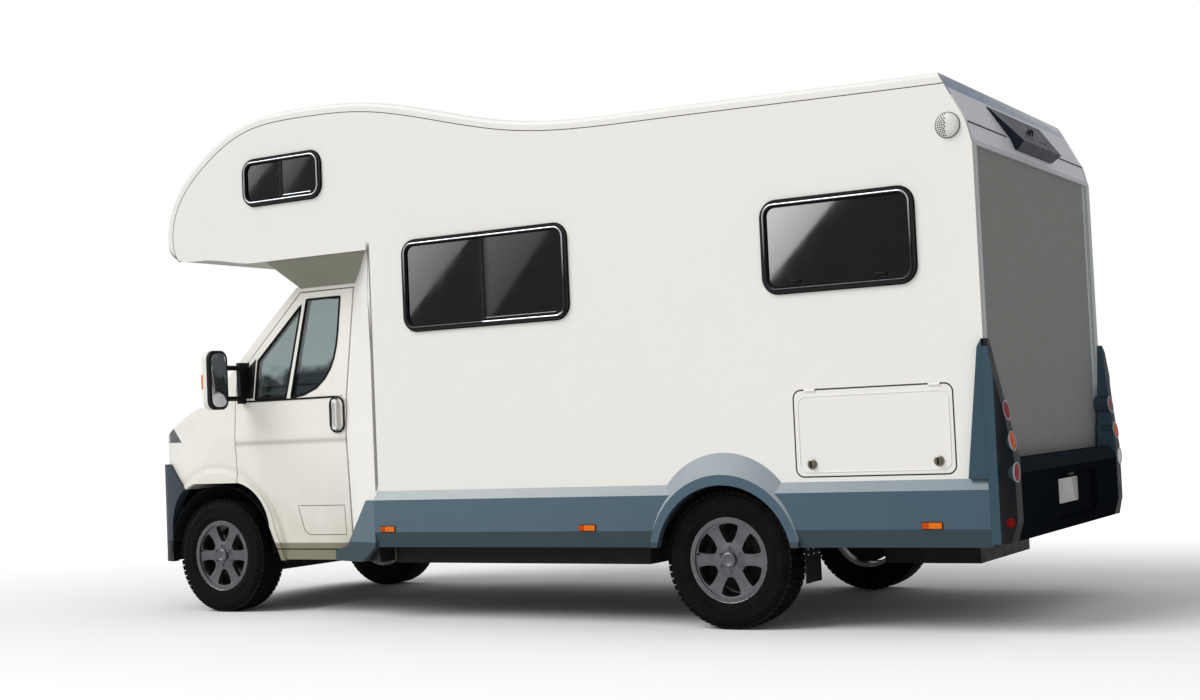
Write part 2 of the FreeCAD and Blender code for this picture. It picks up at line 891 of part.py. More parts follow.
def make_floor():
    rear_face = along(-D.box_rear) + D.rear_panel_recess + D.wall_panel
    slab_foot = D.floor_top_height - D.floor_depth
    slab = box("floor_slab", (rear_face, along(D.box_front)), (-INNER_HALF_WIDTH, INNER_HALF_WIDTH),
               (slab_foot, D.floor_top_height))
    reach = D.flare_arch_radius + D.wheel_box_panel
    cover = box(
        "wheel_box", (REAR_AXLE - reach, REAR_AXLE + reach), (D.wheel_box_inner, INNER_HALF_WIDTH),
        (slab_foot, D.tyre_radius + reach),
    )
    gap = cylinder(
        "wheel_box_gap", "y", D.flare_arch_radius, D.wheel_box_inner + D.wheel_box_panel, HALF_WIDTH,
        x=REAR_AXLE, z=D.tyre_radius,
    )
    floor = cut("floor", fuse("floor_with_boxes", [slab, both_sides("wheel_boxes", cover)]),
                [both_sides("wheel_box_gaps", gap)])
    node(floor, "floor_panel")


def framed_window(name, prefix):
    """Frame and panes of one left side window; a sliding window has a stile between two panes."""
    out = HALF_WIDTH + D.frame_proud
    rim = prism(f"{name}_rim", "XZ", window_outline(prefix, D.frame_lap), HALF_WIDTH, out)
    bead = prism(
        f"{name}_bead", "XZ", window_outline(prefix, D.frame_bead), HALF_WIDTH, out + D.pane_thickness)
    hole = prism(f"{name}_sight", "XZ", window_outline(prefix, 0), HALF_WIDTH - D.overrun, out + D.overrun)
    frame = cut(f"{name}_ring", fuse(f"{name}_blank", [rim, bead]), [hole])
    pane = prism(f"{name}_pane", "XZ", window_outline(prefix, 0), HALF_WIDTH, HALF_WIDTH + D.pane_thickness)
    if prefix not in SLIDING_WINDOWS:
        return frame, pane
    rear, front = along(getattr(D, f"{prefix}_rear")), along(getattr(D, f"{prefix}_front"))
    foot, head = getattr(D, f"{prefix}_foot"), getattr(D, f"{prefix}_head")
    middle = (rear + front) / 2
    slide = common(f"{name}_slide", [
        prism(f"{name}_slide_blank", "XZ", window_outline(prefix, 0), HALF_WIDTH + D.pane_thickness,
              HALF_WIDTH + D.pane_thickness * 2),
        box(f"{name}_slide_zone", (rear, middle), (HALF_WIDTH, out), (foot, head)),
    ])
    stile = box(f"{name}_stile", (middle - D.stile_half_width, middle + D.stile_half_width),
                (HALF_WIDTH + D.pane_thickness, out), (foot, head))
    panes = cut(f"{name}_panes", fuse(f"{name}_pane_pair", [pane, slide]), [stile])
    return fuse(f"{name}_framed", [frame, stile]), panes


def make_window_frames():
    frames, panes = [], []
    for side, names in (("left", LEFT_WINDOWS), ("right", RIGHT_WINDOWS)):
        for name in names:
            frame, pane = framed_window(f"{side}_{name}", name)
            if side == "right":
                frame = mirrored(f"{side}_{name}_frame_mirrored", frame)
                pane = mirrored(f"{side}_{name}_pane_mirrored", pane)
            frames.append(frame)
            panes.append(pane)
    node(fuse("frames", frames), "window_frames")
    node(fuse("panes", panes), "window_panes")


# Cab


def cab_form(name, inset, front_extra=0):
    """The closed outer form of the cab, drawn in by an even inset."""
    inset = size(inset)
    foot = D.cab_foot_height + inset
    side = prism(
        f"{name}_side", "XZ", [
            (along(D.box_front), foot),
            (along(CAB_FRONT_AHEAD) + D.overrun - inset, foot),
            (along(CAB_FRONT_AHEAD) + D.overrun - inset, D.bonnet_nose_height - inset, D.bonnet_crown),
            (along(D.screen_foot_ahead) - inset, D.screen_foot_height - inset, D.screen_crown),
            (along(D.screen_head_ahead) - inset, D.screen_head_height - inset, D.cab_roof_crown),
            (along(D.box_front), D.cab_roof_height - inset),
        ], -HALF_WIDTH, HALF_WIDTH,
    )
    plan = prism(
        f"{name}_plan", "XY", [
            (along(D.box_front), -D.belt_half_width + inset),
            (along(D.front_curve_ahead), -D.belt_half_width + inset, D.front_curve_rise),
            (along(D.front_corner_ahead) - inset, -D.front_corner_half_width + inset, D.nose_corner_rise),
            (along(D.nose_corner_ahead) - inset, -D.nose_corner_half_width + inset, NOSE_CURVE_RISE),
            (along(D.nose_corner_ahead) - inset, D.nose_corner_half_width - inset, D.nose_corner_rise),
            (along(D.front_corner_ahead) - inset, D.front_corner_half_width - inset, D.front_curve_rise),
            (along(D.front_curve_ahead), D.belt_half_width - inset),
            (along(D.box_front), D.belt_half_width - inset),
        ], size(0), D.cab_roof_height + D.overrun,
    )
    section = prism(
        f"{name}_section", "YZ", [
            (-D.cab_foot_half_width + inset, foot),
            (D.cab_foot_half_width - inset, foot),
            (D.belt_half_width - inset, D.belt_height),
            (D.shoulder_half_width - inset, D.shoulder_height),
            (D.cab_roof_half_width - inset, D.cab_roof_height - inset),
            (-D.cab_roof_half_width + inset, D.cab_roof_height - inset),
            (-D.shoulder_half_width + inset, D.shoulder_height),
            (-D.belt_half_width + inset, D.belt_height),
        ], along(D.box_front) - size(front_extra), along(CAB_FRONT_AHEAD) + D.overrun,
    )
    return common(name, [side, plan, section])


def arch_outline(lap=0):
    """The front wheel arch seen from the side, with its edge moved out by lap."""
    lap = size(lap)
    foot = D.cab_foot_height - D.overrun
    return [
        (FRONT_AXLE - D.arch_rear_reach - lap, foot),
        (FRONT_AXLE + D.arch_front_reach + lap, foot),
        (FRONT_AXLE + D.arch_front_reach + lap, D.arch_side_height, D.arch_rise),
        (FRONT_AXLE + D.arch_head_half, D.arch_head_height + lap),
        (FRONT_AXLE - D.arch_head_half, D.arch_head_height + lap, D.arch_rise),
        (FRONT_AXLE - D.arch_radius - lap, D.arch_side_height),
    ]


def arch_lip(name):
    """The raised lips round both front wheel arches."""
    rim = prism(f"{name}_rim", "XZ", arch_outline(D.arch_lip_width), D.arch_depth, HALF_WIDTH)
    gap = prism(f"{name}_gap", "XZ", arch_outline(), D.arch_depth - D.overrun, HALF_WIDTH + D.overrun)
    ring = cut(f"{name}_ring", rim, [gap])
    skin = cut(f"{name}_skin", cab_form(f"{name}_form", -D.arch_lip_proud), [cab_form(f"{name}_seat", 0)])
    return both_sides(name, common(f"{name}_left", [skin, ring]))


def door_outline(gap, rear_gap):
    """The cab door seen from the side; the arch cuts its lower front corner."""
    return [
        (along(D.door_rear) - rear_gap, D.door_foot - gap),
        (along(D.door_front) + gap, D.door_foot - gap),
        (along(D.door_front) + gap, D.door_shoulder_height),
        (along(D.door_head_front) + gap, D.door_head_height + gap),
        (along(D.door_rear) - rear_gap, D.door_head_height + gap),
    ]


def door_panes():
    """Outlines of the quarter light and of the main window in the left cab door."""
    foot_edge = along(D.door_divider_ahead)
    head_edge = foot_edge - D.door_divider_lean
    quarter = [
        (foot_edge + D.door_divider_half, D.door_pane_foot),
        (along(D.quarter_front), D.door_pane_foot),
        (along(D.quarter_front), D.quarter_front_head),
        (head_edge + D.door_divider_half, D.quarter_rear_head),
    ]
    main = [
        (foot_edge - D.door_divider_half, D.door_pane_foot),
        (head_edge - D.door_divider_half, D.door_pane_head),
        (along(D.door_pane_rear), D.door_pane_head),
        (along(D.door_pane_rear), D.door_pane_foot + D.door_pane_corner * 2, D.door_pane_corner / 2),
        (along(D.door_pane_rear) + D.door_pane_corner * 2, D.door_pane_foot),
    ]
    return quarter, main


def door_handle():
    """Upright pull handle on its plate, at the rear edge of the left door."""
    ahead, height = along(D.handle_ahead), D.handle_height
    half, reach = D.handle_half_length, D.handle_half_height
    root = D.cab_half_width - D.handle_root
    plate = prism("handle_plate", "XZ", rounded(
        ahead - half, ahead + half, height - reach, height + reach, half - D.handle_plate,
    ), root, D.cab_half_width + D.handle_plate)
    bar = prism("handle_bar", "XZ", rounded(
        ahead - D.handle_grip / 2, ahead + D.handle_grip, height - reach * HANDLE_BAR_SHARE,
        height + reach * HANDLE_BAR_SHARE, D.handle_grip / 2,
    ), root, D.cab_half_width + D.handle_proud)
    grip = prism("handle_gap", "XZ", rounded(
        ahead - D.handle_grip / 2 - D.overrun, ahead + D.handle_grip + D.overrun,
        height - reach * HANDLE_GAP_SHARE, height + reach * HANDLE_GAP_SHARE, D.handle_grip / 2,
    ), D.cab_half_width + D.handle_plate, D.cab_half_width + D.handle_proud - D.handle_plate * 2)
    return cut("handle", fuse("handle_parts", [plate, cut("handle_grip", bar, [grip])]),
               [cab_form("handle_seat", 0)])


def make_cab():
    outer = cab_form("cab_outer", 0)
    inner = cab_form("cab_inner", D.cab_wall, D.overrun)
    arch = prism("arch_left", "XZ", arch_outline(), D.arch_depth, HALF_WIDTH + D.overrun)
    arches = both_sides("arches", arch)

    cabin = common("cabin_space", [cab_form("cabin_form", D.cab_wall), box(
        "cabin_zone", (along(D.box_front) - D.overrun, along(D.firewall_ahead)),
        (-HALF_WIDTH, HALF_WIDTH), (D.cab_floor_height, D.cab_roof_height),
    )])
    below = box(
        "below_cab",
        (along(D.box_front) - D.overrun, along(D.firewall_ahead) + D.firewall_thickness + D.overrun),
        (-D.cab_foot_half_width + D.cab_wall * 2, D.cab_foot_half_width - D.cab_wall * 2),
        (D.cab_foot_height - D.overrun, D.cab_floor_height - D.cab_floor_depth),
    )
    bay = box(
        "engine_bay_low", (along(D.firewall_ahead) + D.firewall_thickness, along(CAB_FRONT_AHEAD)),
        (-D.bay_half_width, D.bay_half_width),
        (D.cab_foot_height - D.overrun, D.arch_head_height + D.cab_wall),
    )
    bay_high = common("bay_high", [cab_form("bay_form", D.cab_wall), box(
        "engine_bay_high", (along(D.firewall_ahead) + D.firewall_thickness, along(CAB_FRONT_AHEAD)),
        (-HALF_WIDTH, HALF_WIDTH), (D.arch_head_height + D.cab_wall, D.screen_foot_height - D.cab_wall),
    )])
    door = prism("door_blank", "XZ", door_outline(0, 0), D.door_inner, HALF_WIDTH)
    door_hole = prism(
        "door_hole_left", "XZ", door_outline(D.door_gap, D.door_rear_gap),
        D.door_inner - D.door_gap, HALF_WIDTH + D.overrun,
    )
    bonnet_hole = prism("bonnet_hole", "XY", bonnet_outline(D.bonnet_gap), D.bumper_head_height,
                        D.cab_roof_height)
    screen_hole = prism("screen_hole", "YZ", screen_outline(0), along(D.screen_head_ahead) - D.long_overrun,
                        along(D.screen_foot_ahead) + D.overrun)
    axle_room = box(
        "axle_room",
        (FRONT_AXLE - D.arm_half_length - D.overrun, FRONT_AXLE + D.arm_half_length + D.overrun),
        (-D.arch_depth - D.overrun, D.arch_depth + D.overrun),
        (0, D.tyre_radius + D.knuckle_half_height + D.arm_thickness + D.overrun),
    )
    nose_cut = prism("nose_cut", "XZ", bumper_outline(), -HALF_WIDTH, HALF_WIDTH)
    lamp_side = prism("lamp_cut", "XZ", headlamp_outline(), D.headlamp_inner, HALF_WIDTH)
    lamp_cut = both_sides("lamp_cuts", lamp_side)
    shell = cut("cab", outer, [
        arches, cabin, below, bay, bay_high, both_sides("door_holes", door_hole),
        bonnet_hole, screen_hole, nose_cut, lamp_cut, axle_room,
    ])
    lip_room = both_sides("lip_door_room", prism(
        "lip_door_room_left", "XZ", door_outline(D.door_gap, D.door_rear_gap), D.bay_half_width, HALF_WIDTH))
    lip = cut("shell_lip", arch_lip("shell_lip_form"), [
        lip_room, prism("lip_nose_cut", "XZ", bumper_outline(), -HALF_WIDTH, HALF_WIDTH)])
    node(fuse("shell_with_lip", [shell, lip]), "cab_shell")

    hollow_shell = cut("cab_skin", cab_form("door_form", 0), [inner, both_sides("door_arches", prism(
        "door_arch", "XZ", arch_outline(), D.arch_depth, HALF_WIDTH + D.overrun))])
    quarter, main = door_panes()
    panes = [
        prism("quarter_hole", "XZ", quarter, D.bay_half_width, HALF_WIDTH),
        prism("main_hole", "XZ", main, D.bay_half_width, HALF_WIDTH),
    ]
    door_lip = common("door_lip", [arch_lip("door_lip_form"), prism(
        "door_lip_zone", "XZ", door_outline(0, 0), D.bay_half_width, HALF_WIDTH)])
    leaf = cut("door_leaf", common("door_left_blank", [hollow_shell, door]), panes)
    door_left = fuse("door_left", [leaf, door_lip, door_handle()])
    node(door_left, "cab_door_left")
    node(mirrored("door_right", door_left), "cab_door_right")

    glass_skin = cut("glass_skin", cab_form("glass_outer", D.glass_inset),
                     [cab_form("glass_inner", D.glass_inset + D.glass_thickness, D.overrun)])
    glass_left = common("glass_left", [glass_skin, fuse("glass_zones", [
        prism("quarter_pane", "XZ", quarter, D.bay_half_width, HALF_WIDTH),
        prism("main_pane", "XZ", main, D.bay_half_width, HALF_WIDTH),
    ])])
    node(glass_left, "cab_glass_left")
    node(mirrored("glass_right", glass_left), "cab_glass_right")
    screen_zone = prism("screen_zone", "YZ", screen_outline(0), along(D.screen_head_ahead) - D.long_overrun,
                        along(D.screen_foot_ahead) + D.overrun)
    node(common("screen", [glass_skin, screen_zone]), "windscreen")

    bonnet_zone = prism("bonnet_zone", "XY", bonnet_outline(0), D.bumper_head_height + D.bonnet_gap,
                        D.cab_roof_height)
    knuckle = cylinder(
        "bonnet_hinge", "y", D.hinge_radius, D.bay_half_width, D.bay_half_width + D.hinge_length,
        x=along(D.bonnet_rear_ahead), z=D.bonnet_hinge_height,
    )
    node(fuse("bonnet_whole", [
        common("bonnet_panel", [hollow_shell, bonnet_zone]), both_sides("bonnet_hinges", knuckle),
    ]), "bonnet")


def screen_outline(lap):
    foot = D.screen_foot_height + D.screen_foot_margin
    head = D.screen_head_height - D.screen_foot_margin
    return [
        (-D.shoulder_half_width + D.screen_margin * 2, foot),
        (D.shoulder_half_width - D.screen_margin * 2, foot),
        (D.cab_roof_half_width - D.screen_margin, head),
        (-D.cab_roof_half_width + D.screen_margin, head),
    ]


def bonnet_outline(gap):
    gap = size(gap)
    return [
        (along(D.bonnet_rear_ahead) - gap, -D.bonnet_half_width - gap),
        (along(CAB_FRONT_AHEAD) + D.overrun, -D.bonnet_half_width - gap),
        (along(CAB_FRONT_AHEAD) + D.overrun, D.bonnet_half_width + gap),
        (along(D.bonnet_rear_ahead) - gap, D.bonnet_half_width + gap),
    ]


def bumper_outline():
    """The front bumper seen from the side; the arches cut its rear edge."""
    tail = FRONT_AXLE + D.arch_front_reach
    front = along(CAB_FRONT_AHEAD) + D.nose_margin
    return [
        (tail - D.bumper_cheek_length, D.cab_foot_height - D.overrun),
        (front, D.cab_foot_height - D.overrun),
        (front, D.bumper_head_height),
        (tail + D.overrun, D.bumper_head_height),
        (tail - D.bumper_cheek_length, D.arch_head_height - D.cab_wall),
    ]


def headlamp_outline():
    """The headlamp seen from the side."""
    front = along(CAB_FRONT_AHEAD) + D.nose_margin
    return [
        (FRONT_AXLE + D.arch_front_reach, D.bumper_head_height),
        (front, D.bumper_head_height),
        (front, D.headlamp_head_height - D.cab_wall * 2),
        (along(D.headlamp_tail_ahead), D.headlamp_head_height),
    ]


def front_arches(name):
    arch = prism(f"{name}_left", "XZ", arch_outline(), D.arch_depth, HALF_WIDTH + D.long_overrun)
    return both_sides(name, arch)


def air_panel(name, half, foot, head, slots, reach):
    """A slotted insert for an air opening of the bumper, and the block that opens the bumper for it."""
    zone = prism(f"{name}_zone", "YZ", rounded(-half, half, foot, head, D.grille_corner), *reach)
    pitch = (head - foot - D.grille_border * 2 + D.slat_height) / slots
    openings = []
    for index in range(slots):
        low = foot + D.grille_border + pitch * index
        openings.append(prism(f"{name}_slot_{index}", "YZ", rounded(
            -half + D.grille_corner, half - D.grille_corner, low, low + pitch - D.slat_height,
            D.slat_height / 2,
        ), *reach))
    blank = common(f"{name}_blank", [cab_form(f"{name}_form", -D.bumper_proud / 2), zone])
    return zone, cut(name, blank, [cab_form(f"{name}_hollow", D.overrun)] + openings)


def make_front():
    """Bumper, grille, headlamps and the plain engine block."""
    front = along(CAB_FRONT_AHEAD) + D.nose_margin
    rear = FRONT_AXLE + D.arch_front_reach
    grille_zone, grille = air_panel(
        "grille", D.grille_half_width, D.grille_foot_height, D.grille_head_height, GRILLE_SLOTS,
        (rear, front))
    intake_zone, intake = air_panel(
        "intake", D.intake_half_width, D.intake_foot_height, D.intake_head_height, INTAKE_SLOTS,
        (rear, front))
    fog_hole = both_sides("fog_holes", cylinder(
        "fog_hole", "x", D.fog_lamp_radius, rear, front, y=D.fog_lamp_half_spacing, z=D.fog_lamp_height))
    bumper = cut("bumper", common("bumper_blank", [
        cab_form("bumper_form", -D.bumper_proud),
        prism("bumper_zone", "XZ", bumper_outline(), -HALF_WIDTH, HALF_WIDTH),
    ]), [
        cab_form("bumper_hollow", D.bumper_depth - D.bumper_proud), front_arches("bumper_arches"),
        grille_zone, intake_zone, fog_hole,
        box("bumper_under",
            (rear - D.bumper_cheek_length - D.long_overrun, along(CAB_FRONT_AHEAD) - D.bumper_open_length),
            (-D.cab_foot_half_width + D.bumper_depth, D.cab_foot_half_width - D.bumper_depth),
            (0, D.cab_foot_height + D.bumper_depth)),
    ])
    node(bumper, "front_bumper")
    node(fuse("grille_panels", [grille, intake]), "front_grille")
    lamp_zone = prism("headlamp_zone", "XZ", headlamp_outline(), D.headlamp_inner, HALF_WIDTH)
    lamp = cut("headlamp", common("headlamp_blank", [cab_form("headlamp_form", 0), lamp_zone]),
               [cab_form("headlamp_hollow", D.headlamp_depth)])
    fog_blank = common("fog_lamp_blank", [cab_form("fog_form", -D.bumper_proud / 2), fog_hole])
    fog_lamp = cut("fog_lamp", fog_blank, [cab_form("fog_hollow", D.overrun)])
    node(fuse("front_lamps", [both_sides("headlamp_pair", lamp), fog_lamp]), "headlamps")
    engine = box(
        "engine", (along(D.firewall_ahead) + D.firewall_thickness * 4, along(D.engine_front)),
        (-D.engine_half_width, D.engine_half_width), (D.engine_foot_height, D.engine_head_height),
    )
    engine_mount = box(
        "engine_mount",
        (FRONT_AXLE + D.engine_mount_ahead, FRONT_AXLE + D.engine_mount_ahead + D.member_width),
        (D.engine_half_width, D.rail_half_spacing - D.rail_width / 2),
        (D.rail_top_height - D.rail_height + D.overrun, D.rail_top_height - D.overrun),
    )
    node(fuse("engine_mounted", [engine, both_sides("engine_mounts", engine_mount)]), "engine_block")


def make_mirrors():
    """Two-armed mirror on the front edge of each door."""
    ahead = along(D.mirror_ahead)
    rear = ahead - D.mirror_depth / 2
    front = ahead + D.mirror_depth / 2

    def head_outline(inset):
        inset = size(inset)
        return rounded(
            D.mirror_inner + inset, D.mirror_outer - inset, D.mirror_foot_height + inset,
            D.mirror_head_height - inset, D.mirror_corner - inset,
        )

    shell = loft("mirror_shell", "YZ", [(head_outline(inset), at) for inset, at in (
        (D.mirror_rim, rear),
        (0, rear + D.mirror_rim),
        (0, front),
        (D.mirror_dome / 4, front + D.mirror_dome / 2),
        (D.mirror_dome, front + D.mirror_dome),
    )])
    head = cut("mirror_head", shell, [prism(
        "mirror_pocket", "YZ", head_outline(D.mirror_rim * 2), rear - D.overrun, rear + D.mirror_rim)])
    arms = [
        cylinder(f"mirror_arm_{label}", "y", D.mirror_arm_radius, D.cab_roof_half_width, D.mirror_inner,
                 x=ahead, z=height)
        for label, height in (
            ("low", D.mirror_foot_height + D.mirror_low_arm_rise),
            ("high", D.mirror_head_height - D.mirror_high_arm_drop),
        )
    ]
    post = box(
        "mirror_post", (ahead - D.mirror_arm_radius, ahead + D.mirror_arm_radius),
        (D.cab_roof_half_width, D.belt_half_width + D.mirror_post_proud),
        (D.mirror_foot_height + D.mirror_low_arm_rise - D.mirror_post_margin,
         D.mirror_head_height - D.mirror_high_arm_drop + D.mirror_post_margin),
    )
    whole = cut("mirror", fuse("mirror_parts", [head, post] + arms), [cab_form("mirror_seat", -D.seat_gap)])
    node(whole, "mirror_left")
    node(mirrored("mirror_other", whole), "mirror_right")


def make_cabin():
    """Dashboard, steering wheel and seats."""
    dash = common("dash", [cab_form("dash_form", D.cab_wall + D.seat_gap), prism("dash_zone", "XZ", [
        (along(D.firewall_ahead), D.dash_foot_height),
        (along(D.firewall_ahead), D.screen_foot_height - D.dash_head_drop),
        (along(D.dash_rear), D.screen_foot_height - D.dash_head_drop, -D.overrun),
        (along(D.dash_rear) + D.cab_wall * 2, D.dash_foot_height),
    ], -HALF_WIDTH, HALF_WIDTH)])
    dashboard = node(cut("dash_clear", dash, [both_sides("dash_doors", prism(
        "dash_door", "XZ", door_outline(D.door_gap, D.door_rear_gap),
        D.dash_half_width, HALF_WIDTH))]), "dashboard")
    ring = doc.addObject("Part::Torus", "wheel_ring")
    bind(ring, Radius1=D.steering_radius, Radius2=D.steering_grip)
    hub = doc.addObject("Part::Cylinder", "wheel_hub")
    bind(hub, Radius=D.steering_grip * 3, Height=D.steering_column)
    spoke = doc.addObject("Part::Box", "wheel_spoke")
    bind(spoke, Length=D.steering_grip * 2, Width=D.steering_radius * 2, Height=D.steering_grip)
    place(spoke, x=-D.steering_grip, y=-D.steering_radius, z=-D.steering_grip / 2)
    wheel = fuse("steering", [ring, hub, spoke])
    wheel.Placement = Placement(Vector(), Rotation(Vector(0, 1, 0), 115))
    place(wheel, x=along(D.steering_ahead), y=D.driver_half_spacing, z=D.steering_height)
    node(cut("steering_clear", wheel, [dashboard]), "steering_wheel")
    seats = []
    half = D.seat_width / 2
    centre = D.driver_half_spacing
    cushion = prism("seat_cushion", "XZ", [
        (along(D.seat_rear), D.cab_floor_height),
        (along(D.seat_rear) + D.seat_length, D.cab_floor_height),
        (along(D.seat_rear) + D.seat_length, D.seat_height, D.overrun),
        (along(D.seat_rear) + D.seat_back_depth, D.seat_height - D.overrun),
        (along(D.seat_rear), D.seat_back_height),
        (along(D.seat_rear) - D.seat_back_depth, D.seat_back_height),
    ], centre - half, centre + half)
    seats.append(cushion)
    node(both_sides("seats", seats[0]), "cab_seats")


def make_fairings():
    """Widening between the cab sides and the living box."""
    limit = box("fairing_limit", (along(D.box_front) - D.overrun, along(D.door_front)),
                (D.bay_half_width - D.overrun, D.fairing_inner), (0, D.cab_roof_height * 2))
    edge = along(D.box_front)
    groove = prism("fairing_groove", "XZ", [
        (edge - D.overrun, D.skirt_head_height),
        (edge + D.groove_foot_width, D.skirt_head_height),
        (edge + D.groove_foot_width, D.groove_knee_height),
        (edge + D.groove_mid_width, D.groove_mid_height),
        (edge + D.groove_head_width, D.alcove_foot_height + D.overrun),
        (edge - D.overrun, D.alcove_foot_height + D.overrun),
    ], HALF_WIDTH - D.groove_depth, HALF_WIDTH + D.overrun)
    fairing = cut("fairing_left", fairing_wedge("fairing"), [
        cab_form("fairing_seat", 0), limit, alcove_moulding("fairing_moulding_seat"), groove,
    ])
    node(both_sides("fairings", fairing), "cab_fairings")


def wheel_face(name):
    """The dished face of a rim: a ring of windows leaves wide spokes, with nuts round a centre cap."""
    face = D.hub_face
    seat = D.rim_radius - D.rim_wall
    bead = D.tyre_width / 2 - D.tyre_shoulder / 2
    front = face + D.spoke_thickness + D.spoke_dish
    disc = revolved(f"{name}_disc", [
        (face, size(0)),
        (front, size(0)),
        (front, D.hub_radius, -D.spoke_hollow),
        (bead, seat - D.rim_wall / 2),
        (bead - D.spoke_thickness, seat - D.rim_wall / 2, D.spoke_hollow),
        (face, D.hub_radius),
    ])
    windows, nuts = [], []
    for index in range(SPOKES):
        window = prism(f"{name}_window_{index}", "XZ", [
            (-D.rim_window_foot_half, D.rim_window_foot),
            (D.rim_window_foot_half, D.rim_window_foot, D.rim_window_rise),
            (D.rim_window_head_half, D.rim_window_head, D.spoke_dish),
            (-D.rim_window_head_half, D.rim_window_head, D.rim_window_rise),
        ], size(0), D.tyre_width)
        turn = 360 * index / SPOKES
        window.Placement = Placement(Vector(), Rotation(Vector(0, 1, 0), turn))
        windows.append(window)
        nuts.append(cylinder(
            f"{name}_nut_{index}", "y", D.rim_nut_radius, front, front + D.rim_nut_proud,
            x=D.rim_nut_circle * math.sin(math.radians(turn)),
            z=D.rim_nut_circle * math.cos(math.radians(turn)),
        ))
    cap = cylinder(f"{name}_cap", "y", D.rim_cap_radius, front, front + D.rim_cap_proud)
    return fuse(f"{name}_face", [cut(f"{name}_open_disc", disc, windows), cap] + nuts)


def make_wheels():
    """Tyres and six-spoke rims."""
    half = D.tyre_width / 2
    bead = D.tyre_width / 2 - D.tyre_shoulder / 2
    seat = D.rim_radius - D.rim_wall
    for axle, centre_x, centre_y in (
        ("front", FRONT_AXLE, D.front_track_half), ("rear", REAR_AXLE, D.track_half),
    ):
        for side, sign in WHEEL_SIDES.items():
            tyre = revolved(f"tyre_{axle}_{side}_ring", [
                (-bead, seat),
                (bead, seat),
                (bead, D.rim_radius, D.tyre_bead_swell),
                (half, D.tyre_flank_radius, D.tyre_sidewall_swell),
                (half - D.tyre_shoulder / 2, D.tyre_radius - D.tyre_crown_rise, D.tyre_crown_rise),
                (-half + D.tyre_shoulder / 2, D.tyre_radius - D.tyre_crown_rise, D.tyre_sidewall_swell),
                (-half, D.tyre_flank_radius, D.tyre_bead_swell),
                (-bead, D.rim_radius),
            ])
            barrel = revolved(f"rim_{axle}_{side}_barrel", [
                (-bead - D.rim_wall, D.rim_radius),
                (-bead - D.rim_wall, seat - D.rim_wall),
                (bead + D.rim_wall, seat - D.rim_wall),
                (bead + D.rim_wall, D.rim_radius),
                (bead, D.rim_radius),
                (bead, seat),
                (-bead, seat),
                (-bead, D.rim_radius),
            ])
            rim = fuse(f"rim_{axle}_{side}_whole", [barrel, wheel_face(f"rim_{axle}_{side}")])
            for piece, label in ((tyre, "tyre"), (rim, "rim")):
                piece.Placement = Placement(Vector(), Rotation(Vector(0, 0, 1), 0 if sign > 0 else 180))
                place(piece, x=centre_x, y=centre_y * sign, z=D.tyre_radius)
                node(piece, f"{label}_{axle}_{side}")


